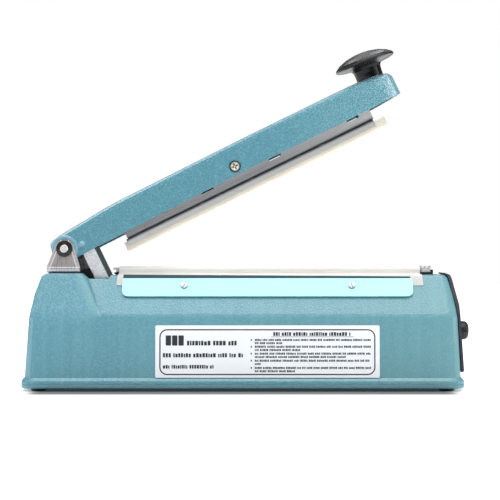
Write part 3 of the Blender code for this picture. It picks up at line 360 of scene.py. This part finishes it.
def bracket_steel(name):
    """Pressed bracket steel: a painted highlight along the bend and the folded border, duller between."""
    s = Shader(name, 0.3, 0.15)
    grain = s.noise(900, 2, 0.5, s.scaled(1, 1, 0.15))
    plain = s.ramp(grain, (0.3, srgb(138, 131, 132)), (0.7, srgb(158, 151, 152)))
    height = s.along((0, 0, 86.0), (0, 0, 1), 6.0)
    # Painted highlight along the bend at the ear's foot and along the folded border.
    bend = s.ramp(height, (0.0, 0.2), (0.06, 1.0), (0.33, 1.0), (0.4, 0.0), (0.5, 0.0), (0.56, 0.7),
                  (0.64, 0.7), (0.72, 0.0))
    left = s.along((-149.9, 0, 90.4), (0.926, 0, -0.378), 5.0)
    right = s.along((-125.7, 0, 90.4), (-0.957, 0, -0.291), 5.0)
    border = s.math("MINIMUM", left, right)
    fold = s.ramp(border, (0.0, 0.45), (0.1, 0.15), (0.34, 0.1), (0.46, 0.7), (0.58, 0.0))
    bend_and_border_highlight = s.math("MAXIMUM", bend, fold)
    s.colour(s.mix(bend_and_border_highlight, plain, srgb(254, 250, 252)))
    s.rough(s.ramp(grain, (0.3, 0.24), (0.7, 0.36)))
    s.bump(grain, 0.05, 0.00004)
    return s.mat


def strip_screw_steel(name):
    """Slotted zinc screws, with painted shade in the slot and under the lower rim of the head."""
    s = Shader(name, 0.34, 0.3)
    grain = s.noise(1500, 3)
    tone = s.ramp(grain, (0.3, srgb(218, 222, 225)), (0.7, srgb(238, 240, 242)))
    lean = UP_SLOPE.y
    for x, degrees in STRIP_SCREWS:
        centre = (x, 0, CREASE.y + STRIP_SCREW_UP * lean + STRIP_SCREW_OFF * OFF_SLOPE.y)
        head = within(s, centre, 2.9, 0.3)
        rim = s.math("SUBTRACT", head, within(s, centre, 2.15, 0.4))
        turn = math.radians(degrees)
        square = Vector((-math.sin(turn), 0, math.cos(turn) / lean))
        off = s.math("ABSOLUTE", s.along(centre, square, 1 / square.length))
        # Painted shade in the slot and under the lower rim of each head.
        slot = s.math("MULTIPLY", head, s.ramp(off, (0.3, 0.75), (0.5, 0.0)))
        lower = s.ramp(s.along(centre, (0, 0, -1), 2.0), (0.0, 0.3), (0.6, 1.0))
        slot_and_rim_shade = s.math("MAXIMUM", s.math("MULTIPLY", rim, lower), slot)
        tone = s.mix(s.math("MULTIPLY", slot_and_rim_shade, 0.9), tone, srgb(46, 66, 70))
    s.colour(tone)
    s.rough(s.ramp(grain, (0.3, 0.24), (0.7, 0.4)))
    return s.mat


def striker_zinc(name):
    """The spangled strap, with painted shade on the web of its folded edge."""
    s = Shader(name, 0.4, 0.35)
    crystal = s.node("ShaderNodeTexVoronoi", feature="F1")
    crystal.inputs["Scale"].default_value = 900
    s.link(s.place.outputs["Object"], crystal.inputs["Vector"])
    shade = s.node("ShaderNodeSeparateColor")
    s.link(crystal.outputs["Color"], shade.inputs["Color"])
    fleck = s.ramp(shade.outputs["Red"], (0.1, srgb(196, 198, 201)), (0.9, srgb(222, 224, 227)))
    across = s.along(on_arm(20.7, 0), ALONG_ARM, 1.0)
    # Painted shade on the web of the folded edge.
    web_shade = s.ramp(s.math("ADD", across, 1.0), (0.02, 0.0), (0.1, 1.0))
    s.colour(s.mix(web_shade, fleck, srgb(64, 78, 78)))
    s.bump(s.noise(900, 3), 0.12, 0.00005)
    return s.mat


def cloth_shader(name):
    """Plain-woven glass cloth under a smooth coating, with the weave just showing."""
    s = Shader(name, 0.42, Coat_Weight=0.15, Coat_Roughness=0.3)
    warp = s.node("ShaderNodeTexWave", wave_type="BANDS", bands_direction="X")
    warp.inputs["Scale"].default_value = 420
    weft = s.node("ShaderNodeTexWave", wave_type="BANDS", bands_direction="Z")
    weft.inputs["Scale"].default_value = 420
    for wave in (warp, weft):
        s.link(s.place.outputs["Object"], wave.inputs["Vector"])
    weave = s.math("MULTIPLY", warp.outputs["Fac"], weft.outputs["Fac"])
    stain = s.noise(36, 4)
    tone = s.ramp(stain, (0.3, srgb(219, 217, 211)), (0.72, srgb(233, 232, 229)))
    tone = s.mix(s.math("MULTIPLY", weave, 0.25), tone, srgb(206, 204, 198))
    flap = s.ramp(s.along((0, 0, DECK_Z + 0.6), (0, 0, -1), 2.0), (0.0, 0.0), (1.0, 1.0))
    s.colour(s.mix(flap, tone, srgb(196, 194, 192)))
    s.bump(weave, 0.2, 0.00004)
    return s.mat


def channel_metal(name):
    """Drawn channel, with painted shade along the top where it meets the bar, and a little yellowed below.
    """
    s = Shader(name, 0.4, 0.6)
    down = s.along(on_arm(BAR_PIVOT[0], -13.3), (-OFF_ARM[0], 0, -OFF_ARM[2]), 6.0)
    grain = s.noise(1500, 4, 0.6, s.scaled(0.08, 1, 1, (0, OPEN, 0)))
    streak = s.noise(420, 3, 0.6, s.scaled(0.05, 1, 1, (0, OPEN, 0)))
    # Painted shade along the top, under the bar.
    tone = s.ramp(down, (0.0, srgb(52, 52, 56)), (0.13, srgb(62, 62, 66)), (0.24, srgb(150, 150, 156)),
                  (0.4, srgb(205, 206, 207)), (1.0, srgb(208, 206, 198)))
    tone = s.mix(s.ramp(streak, (0.56, 0.0), (0.7, 0.4)), tone, srgb(172, 160, 140))
    s.colour(tone)
    s.rough(s.ramp(grain, (0.3, 0.32), (0.7, 0.46)))
    s.bump(grain, 0.2, 0.00004)
    return s.mat


def pivot_screw_steel(name):
    """A cross screw in warm bright steel, with painted shade in its cross recess and round its rim."""
    s = Shader(name, 0.3, 0.4)
    grain = s.noise(1500, 3)
    tone = s.ramp(grain, (0.3, srgb(206, 200, 184)), (0.7, srgb(232, 227, 212)))
    centre = on_arm(*BAR_PIVOT)
    head = within(s, centre, 4.4, 0.3)
    rim = s.math("SUBTRACT", head, within(s, centre, 3.3, 0.5))
    # Painted shade round the rim and in the cross recess.
    dark = rim
    for degrees in CROSS_RECESS:
        line = (-math.sin(math.radians(degrees)), 0, math.cos(math.radians(degrees)))
        off = s.math("ABSOLUTE", s.along(centre, line, 1.0))
        arm = s.math("MULTIPLY", s.ramp(off, (0.35, 1.0), (0.6, 0.0)), within(s, centre, 2.7, 0.4))
        arm = s.math("SUBTRACT", arm, within(s, centre, 0.9, 0.5))
        dark = s.math("MAXIMUM", dark, arm)
    s.colour(s.mix(s.math("MULTIPLY", dark, 0.85), tone, srgb(52, 62, 66)))
    s.rough(s.ramp(grain, (0.3, 0.24), (0.7, 0.38)))
    return s.mat


def tab_steel(name):
    """The bright hook of the ribbon terminal, with its black insulated foot."""
    s = Shader(name, 0.3, 0.5)
    grain = s.noise(1200, 2)
    tone = s.ramp(grain, (0.3, srgb(218, 218, 218)), (0.7, srgb(236, 236, 234)))
    height = s.along((0, 0, 86.1), (0, 0, 1), 1.0)
    s.colour(s.mix(s.ramp(height, (0.0, 1.0), (0.3, 0.0)), tone, srgb(22, 22, 24)))
    s.rough(s.ramp(grain, (0.3, 0.26), (0.7, 0.36)))
    return s.mat


def knob_phenolic(name):
    """Polished black moulding: faint pale flow lines over the dome, and painted shade making the stem and
    the dome's underside a deeper black.
    """
    s = Shader(name, 0.24, Specular_IOR_Level=0.24)
    up = (-math.sin(KNOB_TILT), 0, math.cos(KNOB_TILT))
    height = s.along(on_arm(*KNOB_SEAT), up, 10.0)
    flow = s.noise(60, 2, 0.5, s.scaled(0.3, 0.3, 3.0, (0, KNOB_TILT, 0)))
    dome = s.ramp(flow, (0.35, srgb(32, 32, 33)), (0.6, srgb(37, 37, 38)), (0.72, srgb(46, 46, 47)))
    # Painted shade: the stem and the dome's underside a deeper black.
    s.colour(s.mix(s.ramp(height, (0.98, 1.0), (1.14, 0.0)), dome, srgb(6, 7, 10)))
    s.rough(s.ramp(s.noise(60, 2), (0.3, 0.22), (0.7, 0.3)))
    return s.mat


def silicone_shader(name):
    """Cream silicone rubber, faintly cloudy and a little translucent."""
    s = Shader(name, 0.5, Subsurface_Weight=0.15, Subsurface_Scale=0.002)
    s.bsdf.inputs["Subsurface Radius"].default_value = (1.0, 0.7, 0.4)
    cloud = s.noise(60, 3)
    s.colour(s.ramp(cloud, (0.3, srgb(224, 214, 196)), (0.7, srgb(234, 227, 212))))
    s.bump(s.noise(1500, 2), 0.15, 0.00004)
    return s.mat


def lens_shader(name):
    """Clear red plastic with a slight unevenness."""
    s = Shader(name, 0.12, Transmission_Weight=0.35, IOR=1.49)
    s.colour(s.ramp(s.noise(300, 2), (0.3, srgb(168, 26, 22)), (0.7, srgb(206, 48, 38))))
    return s.mat


def board_shader(name):
    """Green circuit board with paler tracks."""
    s = Shader(name, 0.4)
    tracks = s.cells(260, "DISTANCE_TO_EDGE")
    s.colour(s.ramp(tracks, (0.04, srgb(70, 140, 92)), (0.1, srgb(30, 92, 58))))
    return s.mat


def bar_enamel(name):
    """Grey enamel, with painted shade darkening it towards the lower edge beside the hot bed, inside and
    round its windows; paler towards the knob end.
    """
    s = Shader(name, 0.42)
    height = s.along(on_arm(BAR_PIVOT[0], -13.2), OFF_ARM, 9.0)
    # Painted shade, darker towards the lower edge.
    shade_height = s.math("ADD", height, s.math("MULTIPLY", s.noise(60, 3), 0.12))
    tone = s.ramp(shade_height, (0.04, srgb(86, 86, 88)), (0.2, srgb(118, 117, 119)), (0.4, srgb(132, 131, 133)),
                  (0.9, srgb(176, 175, 176)))
    # Paler towards the knob end, on the upper part of the bar.
    paler_towards_knob = s.ramp(s.along(on_arm(160, 0), ALONG_ARM, 89), (0.0, 0.0), (1.0, 0.5))
    paler_towards_knob = s.math("MULTIPLY", paler_towards_knob, s.ramp(shade_height, (0.2, 0.0), (0.4, 1.0)))
    tone = s.mix(paler_towards_knob, tone, srgb(206, 206, 204))
    split = s.node("ShaderNodeSeparateXYZ")
    s.link(s.place.outputs["Object"], split.inputs["Vector"])
    # Painted shade: black inside the bar and in dark slits round its windows.
    depth = s.math("MULTIPLY", s.math("ABSOLUTE", split.outputs["Y"]), 100)
    dark = s.ramp(depth, (0.61, 1.0), (0.66, 0.0))
    for place, middle, half in BAR_WINDOWS:
        off = s.math("ABSOLUTE", s.along(on_arm(place, middle), OFF_ARM, half))
        aside = s.math("ABSOLUTE", s.along(on_arm(place, 0), ALONG_ARM, 5.6))
        tall = s.ramp(off, (0.85, 1.0), (1.0, 0.0))
        slit = s.math("MULTIPLY", tall, s.ramp(aside, (0.84, 1.0), (0.9, 0.0)))
        dark = s.math("MAXIMUM", dark, slit)
    s.colour(s.mix(dark, tone, srgb(16, 22, 32)))
    fine = s.noise(900, 3)
    s.rough(s.ramp(fine, (0.3, 0.36), (0.7, 0.5)))
    s.bump(fine, 0.15, 0.00005)
    return s.mat


GREY = bar_enamel("grey_enamel")
CHANNEL = channel_metal("channel_aluminium")
PIVOT_SCREW = pivot_screw_steel("pivot_screw_steel")
TAB = tab_steel("terminal_tab_steel")
DOME = knob_phenolic("knob_phenolic")
ZINC = striker_zinc("striker_zinc")
BRACKET = bracket_steel("bracket_steel")
STRIP_SCREW = strip_screw_steel("strip_screw_zinc")
CLOTH = cloth_shader("coated_glass_cloth_weave")
SILICONE = silicone_shader("silicone_rubber")
LENS = lens_shader("lens_red")
BOARD = board_shader("board_green")

FINISH = {
    "base_housing": TEAL, "bottom_tray": TRAY, "lever_arm": ARM_TEAL, "end_panel": PANEL,
    "timer_knob": BLACK, "timer_shaft": BRASS, "potentiometer": BLACK, "indicator_lens": LENS,
    "indicator_lamp": BRASS, "cord_gland": RUBBER, "fuse_holder": BLACK, "hinge_gasket": RUBBER,
    "transformer_core": LAMINATION, "transformer_coil": COPPER, "transformer_frame": SCREW,
    "timer_board": BOARD, "microswitch_case": BLACK, "microswitch_lever": BRIGHT,
    "switch_bracket": SCREW, "hinge_bracket": BRACKET, "pivot_pin": PIN,
    "push_nut_front": BLACKENED, "push_nut_back": BLACKENED, "return_spring": SPRING,
    "striker_guide": GUIDE, "handle_knob": DOME, "switch_striker": ZINC, "striker_rivet": ARM_TEAL,
    "press_bar": GREY, "silicone_channel": CHANNEL, "silicone_strip": SILICONE,
    "bar_pivot_screw": PIVOT_SCREW, "bar_pivot_nut": SCREW, "bed_bar": ALUMINIUM,
    "heating_wire": NICHROME, "coated_cloth": CLOTH, "terminal_block": BLACK,
    "terminal_clamp": PIN, "terminal_spring_tab": TAB, "label_plate": LABEL,
    "front_cover_strip": STRIP, "back_cover_strip": STRIP,
    "front_strip_gasket": GASKET_SHADE, "back_strip_gasket": GASKET_SHADE,
}
for name, obj in NODES.items():
    finish = FINISH.get(name)
    if finish is None:
        finish = RUBBER if name.startswith("foot_") and "screw" not in name else SCREW
    if "strip_screw" in name:
        finish = STRIP_SCREW
    obj.data.materials.clear()
    obj.data.materials.append(finish)


# ------------------------------------------------------------ pieces


def solid(name, shape, finish, body, smooth=None):
    """A closed mesh, given in mm, as a piece that rides on a body."""
    bmesh.ops.scale(shape, vec=(MM, MM, MM), verts=shape.verts)
    bmesh.ops.recalc_face_normals(shape, faces=shape.faces)
    mesh = bpy.data.meshes.new(name)
    shape.to_mesh(mesh)
    shape.free()
    if smooth is not None:
        mesh.shade_smooth()
        mesh.set_sharp_from_angle(angle=math.radians(smooth))
    mesh.materials.append(finish)
    obj = bpy.data.objects.new(name, mesh)
    bpy.context.scene.collection.objects.link(obj)
    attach(obj, body)
    return obj


def plate_point(u, v, off):
    """A point on the label: u from its left edge, v from its lower edge, off its face."""
    at = WALL_FOOT + UP_WALL * (PLATE_LOW + v) + OFF_WALL * (PLATE_FACE + off)
    return Vector((PLATE_LEFT + u, at.x, at.y))


def ink_outline(shape, outer, inner=None):
    """A raised patch of ink with this outline, or the ring between two outlines."""
    def ring(points, off):
        return [shape.verts.new(plate_point(u, v, off)) for u, v in points]

    low, high = ring(outer, INK_LOW), ring(outer, INK_HIGH)
    count = len(outer)
    for i in range(count):
        j = (i + 1) % count
        shape.faces.new((low[i], low[j], high[j], high[i]))
    if inner is None:
        shape.faces.new(high)
        shape.faces.new(low[::-1])
        return
    inside_low, inside_high = ring(inner, INK_LOW), ring(inner, INK_HIGH)
    for i in range(count):
        j = (i + 1) % count
        shape.faces.new((inside_low[j], inside_low[i], inside_high[i], inside_high[j]))
        shape.faces.new((high[i], high[j], inside_high[j], inside_high[i]))
        shape.faces.new((low[j], low[i], inside_low[i], inside_low[j]))


def rounded_frame(u0, u1, v0, v1, radius, steps=6):
    points = []
    corners = ((u1, v0, 270), (u1, v1, 0), (u0, v1, 90), (u0, v0, 180))
    for u, v, start in corners:
        cu = u - radius if u == u1 else u + radius
        cv = v - radius if v == v1 else v + radius
        for i in range(steps + 1):
            angle = math.radians(start + 90 * i / steps)
            points.append((cu + radius * math.cos(angle), cv + radius * math.sin(angle)))
    return points


def greeked_line(shape, draw, u0, u1, middle, height):
    """A line of stand-in text: short bars of uneven width in words, with no letter shapes."""
    u = u0
    while u < u1 - height * 0.5:
        letters = draw.randint(3, 8)
        for _ in range(letters):
            width = height * draw.choice((0.34, 0.5, 0.55, 0.62))
            if u + width > u1:
                break
            tall = height * draw.choice((1.0, 1.0, 0.86))
            low = middle - height / 2
            ink_outline(shape, [(u, low), (u + width, low), (u + width, low + tall), (u, low + tall)])
            u += width + height * 0.16
        u += height * 0.42


def label_print():
    draw = random.Random(20)
    shape = bmesh.new()
    ink_outline(shape, rounded_frame(3.0, 159.6, 1.9, 35.1, 5.6), rounded_frame(3.9, 158.7, 2.8, 34.2, 4.7))
    for u in (7.6, 12.2, 16.8):
        ink_outline(shape, rounded_frame(u, u + 3.9, 23.2, 30.6, 0.5, 2))
    greeked_line(shape, draw, 23.0, 60.5, 25.0, 3.3)
    greeked_line(shape, draw, 5.6, 65.0, 16.2, 3.0)
    greeked_line(shape, draw, 5.6, 44.0, 7.9, 2.6)
    greeked_line(shape, draw, 85.6, 142.6, 31.6, 2.7)
    ink_outline(shape, [(84.0, 29.4), (143.8, 29.4), (143.8, 29.7), (84.0, 29.7)])
    lines = ((27.3, 156.4, 1), (25.0, 92.2, 0), (22.4, 156.4, 1), (20.0, 105.0, 0), (17.4, 156.4, 1))
    lines += ((15.0, 138.8, 0), (12.3, 156.4, 1), (9.9, 77.0, 0), (7.1, 156.4, 1), (4.7, 101.4, 0))
    for middle, end, numbered in lines:
        greeked_line(shape, draw, 72.2, end, middle, 1.55)
        if numbered:
            ink_outline(shape, rounded_frame(69.2, 70.1, middle - 0.7, middle + 0.7, 0.3, 2))
    solid("label_print", shape, INK, "base")


label_print()


def winding_spring():
    """The torsion spring, as a copy of its mesh set in row coordinates and shown in place of the part."""
    mesh = NODES["return_spring"].data.copy()
    piece = bpy.data.objects.new("winding_spring", mesh)
    bpy.context.scene.collection.objects.link(piece)
    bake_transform(piece)
    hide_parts("return_spring")


winding_spring()


def cloth_section(lift):
    """Half of the cloth's section this far off the base, as (distance from the middle, height)."""
    low = CREASE + UP_SLOPE * 25.5 + OFF_SLOPE * lift
    edge = CREASE + UP_SLOPE * 32.2 + OFF_SLOPE * lift
    return [
        low,
        edge,
        Vector((19.3 + lift * 0.7, DECK_Z - 0.4 + lift * 0.7)),
        Vector((18.1 + lift * 0.4, DECK_Z + lift)),
        Vector((BED_HALF + 1.2, DECK_Z + lift)),
        Vector((BED_HALF + lift, DECK_Z + 1.2)),
        Vector((BED_HALF + lift, BED_TOP - 0.6)),
        Vector((BED_HALF - 1.2 + lift * 0.6, BED_TOP + 0.3 + lift)),
        Vector((0, BED_TOP + 0.32 + lift)),
    ]


def coated_cloth():
    """One strip of coated glass cloth over the bed, tucked under the cover strip on each side."""
    left, right = CLOTH_LEFT, CLOTH_RIGHT
    across = []
    half = cloth_section(CLOTH_LIFT)
    for a, b in zip(half, half[1:]):
        steps = max(2, round((b - a).length / 1.1))
        across += [a.lerp(b, i / steps) for i in range(steps)]
    front = [Vector((-p.x, p.y)) for p in across]
    across = front + [Vector((0, half[-1].y))] + list(reversed(across))
    normals = []
    for i, p in enumerate(across):
        run = across[min(i + 1, len(across) - 1)] - across[max(i - 1, 0)]
        normals.append(Vector((-run.y, run.x)).normalized())
    shape = bmesh.new()
    columns = 150
    faces = []
    for side in (1, -1):
        grid = []
        for c in range(columns + 1):
            t = c / columns
            column = []
            for i, (p, n) in enumerate(zip(across, normals)):
                edge = min(i, len(across) - 1 - i)
                flare = 0.5 * max(0.0, 1 - edge / 8.0)
                x = left - flare + (right - left + 2 * flare) * t
                free = max(0.0, 1 - min(c, columns - c) / 3.0) * max(0.0, 1 - edge / 5.0)
                ripple = 0.05 * math.sin(x * 0.32 + i * 0.5) * math.sin(i * 0.7 + x * 0.045)
                lift = CLOTH_HALF_THICK * side + free * 0.25
                lift += ripple if 12 < edge < 20 else 0.3 * ripple
                column.append(shape.verts.new((x, p.x + n.x * lift, p.y + n.y * lift)))
            grid.append(column)
        for c in range(columns):
            for i in range(len(across) - 1):
                shape.faces.new((grid[c][i], grid[c + 1][i], grid[c + 1][i + 1], grid[c][i + 1]))
        faces.append(grid)
    over, under = faces
    last = len(across) - 1
    for c in range(columns):
        for i in (0, last):
            shape.faces.new((over[c][i], over[c + 1][i], under[c + 1][i], under[c][i]))
    for i in range(last):
        for c in (0, columns):
            shape.faces.new((over[c][i], over[c][i + 1], under[c][i + 1], under[c][i]))
    piece = solid("bed_cloth", shape, CLOTH, "base", 60)
    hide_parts("coated_cloth")


coated_cloth()

# ------------------------------------------------------------ stage, light and camera


def floor_mesh():
    """A wide round floor."""
    shape = bmesh.new()
    bmesh.ops.create_circle(shape, cap_ends=True, cap_tris=False, radius=3.0, segments=96)
    mesh = bpy.data.meshes.new("studio_floor")
    shape.to_mesh(mesh)
    shape.free()
    return mesh


def contact_shade(s):
    """0 on the paper under the base and 1 clear of it, with a soft edge in front and behind."""
    split = s.node("ShaderNodeSeparateXYZ")
    s.link(s.place.outputs["Object"], split.inputs["Vector"])
    squares = []
    for axis, middle, half in zip("XY", SHADE_MIDDLE, SHADE_HALF):
        from_middle = s.math("ABSOLUTE", s.math("SUBTRACT", split.outputs[axis], middle))
        beyond = s.math("MAXIMUM", s.math("SUBTRACT", from_middle, half), 0.0)
        squares.append(s.math("POWER", beyond, 2))
    far = s.math("POWER", s.math("ADD", *squares), 0.5)
    return s.ramp(s.math("DIVIDE", far, SHADE_SOFT), (0.0, 0.07), (0.3, 0.18), (0.6, 0.6), (1.0, 1.0))


def floor_paper():
    """White paper that glows a little, more so away from the object, so that it stays white to its edge."""
    s = Shader("floor_paper", 0.95, Emission_Color=(1, 1, 1, 1))
    ball = s.node("ShaderNodeTexGradient", gradient_type="SPHERICAL")
    s.link(s.scaled(1.1, 1.1, 1.1), ball.inputs["Vector"])
    glow = s.ramp(ball.outputs["Fac"], (0.0, 0.95), (0.35, 0.8), (0.75, 0.45))
    shade = contact_shade(s)
    s.colour(s.mix(shade, srgb(90, 98, 100), srgb(228, 230, 232)))
    s.link(s.math("MULTIPLY", glow, shade), s.bsdf.inputs["Emission Strength"])
    return s.mat


floor = bpy.data.objects.new("studio_floor", floor_mesh())
floor.data.materials.append(floor_paper())
bpy.context.scene.collection.objects.link(floor)


def studio_world():
    """White to look at, and a soft grey room, brighter overhead, to light by."""
    world = bpy.data.worlds.new("studio")
    world.use_nodes = True
    tree = world.node_tree
    back = tree.nodes["Background"]
    back.inputs["Strength"].default_value = 1.0
    where = tree.nodes.new("ShaderNodeTexCoord")
    split = tree.nodes.new("ShaderNodeSeparateXYZ")
    tree.links.new(where.outputs["Generated"], split.inputs["Vector"])
    ramp = tree.nodes.new("ShaderNodeValToRGB")
    ramp.color_ramp.elements[0].position = 0.0
    ramp.color_ramp.elements[0].color = (0.135, 0.135, 0.14, 1)
    ramp.color_ramp.elements[1].position = 0.9
    ramp.color_ramp.elements[1].color = (0.355, 0.36, 0.365, 1)
    tree.links.new(split.outputs["Z"], ramp.inputs["Fac"])
    room = tree.nodes.new("ShaderNodeBackground")
    tree.links.new(ramp.outputs["Color"], room.inputs["Color"])
    back.inputs["Color"].default_value = (1, 1, 1, 1)
    path = tree.nodes.new("ShaderNodeLightPath")
    mix = tree.nodes.new("ShaderNodeMixShader")
    tree.links.new(path.outputs["Is Camera Ray"], mix.inputs[0])
    tree.links.new(room.outputs[0], mix.inputs[1])
    tree.links.new(back.outputs[0], mix.inputs[2])
    tree.links.new(mix.outputs[0], tree.nodes["World Output"].inputs["Surface"])
    return world


bpy.context.scene.world = studio_world()


def area(name, at, target, size, power):
    """A white rectangular lamp at one point, turned to another. Both are in metres."""
    light = bpy.data.lights.new(name, "AREA")
    light.shape = "RECTANGLE"
    light.size, light.size_y = size
    light.energy = power
    obj = bpy.data.objects.new(name, light)
    obj.location = at
    aim = Vector(target) - Vector(at)
    obj.rotation_euler = aim.to_track_quat("-Z", "Y").to_euler()
    bpy.context.scene.collection.objects.link(obj)


area("top_softbox", (0.0, -0.5, 1.38), (0.0, 0.0, 0.08), (1.5, 0.9), 18)
area("back_softbox", (0.0, 0.6, 1.1), (0.0, 0.0, 0.12), (1.2, 0.4), 6)
area("right_softbox", (1.0, -0.35, 0.45), (0.05, 0.0, 0.15), (0.35, 0.8), 3.4)
area("left_softbox", (-1.0, -0.3, 0.35), (-0.05, 0.0, 0.1), (0.3, 0.8), 2.1)

camera_data = bpy.data.cameras.new("camera")
camera_data.sensor_width = 36
camera_data.lens = 95.6
camera_data.clip_end = 20
camera = bpy.data.objects.new("camera", camera_data)
camera.location = (0.0003, -1.0, 0.1026)
camera.rotation_euler = (math.radians(90), 0, 0)
bpy.context.scene.collection.objects.link(camera)
bpy.context.scene.camera = camera
bpy.context.scene.view_settings.view_transform = "Standard"
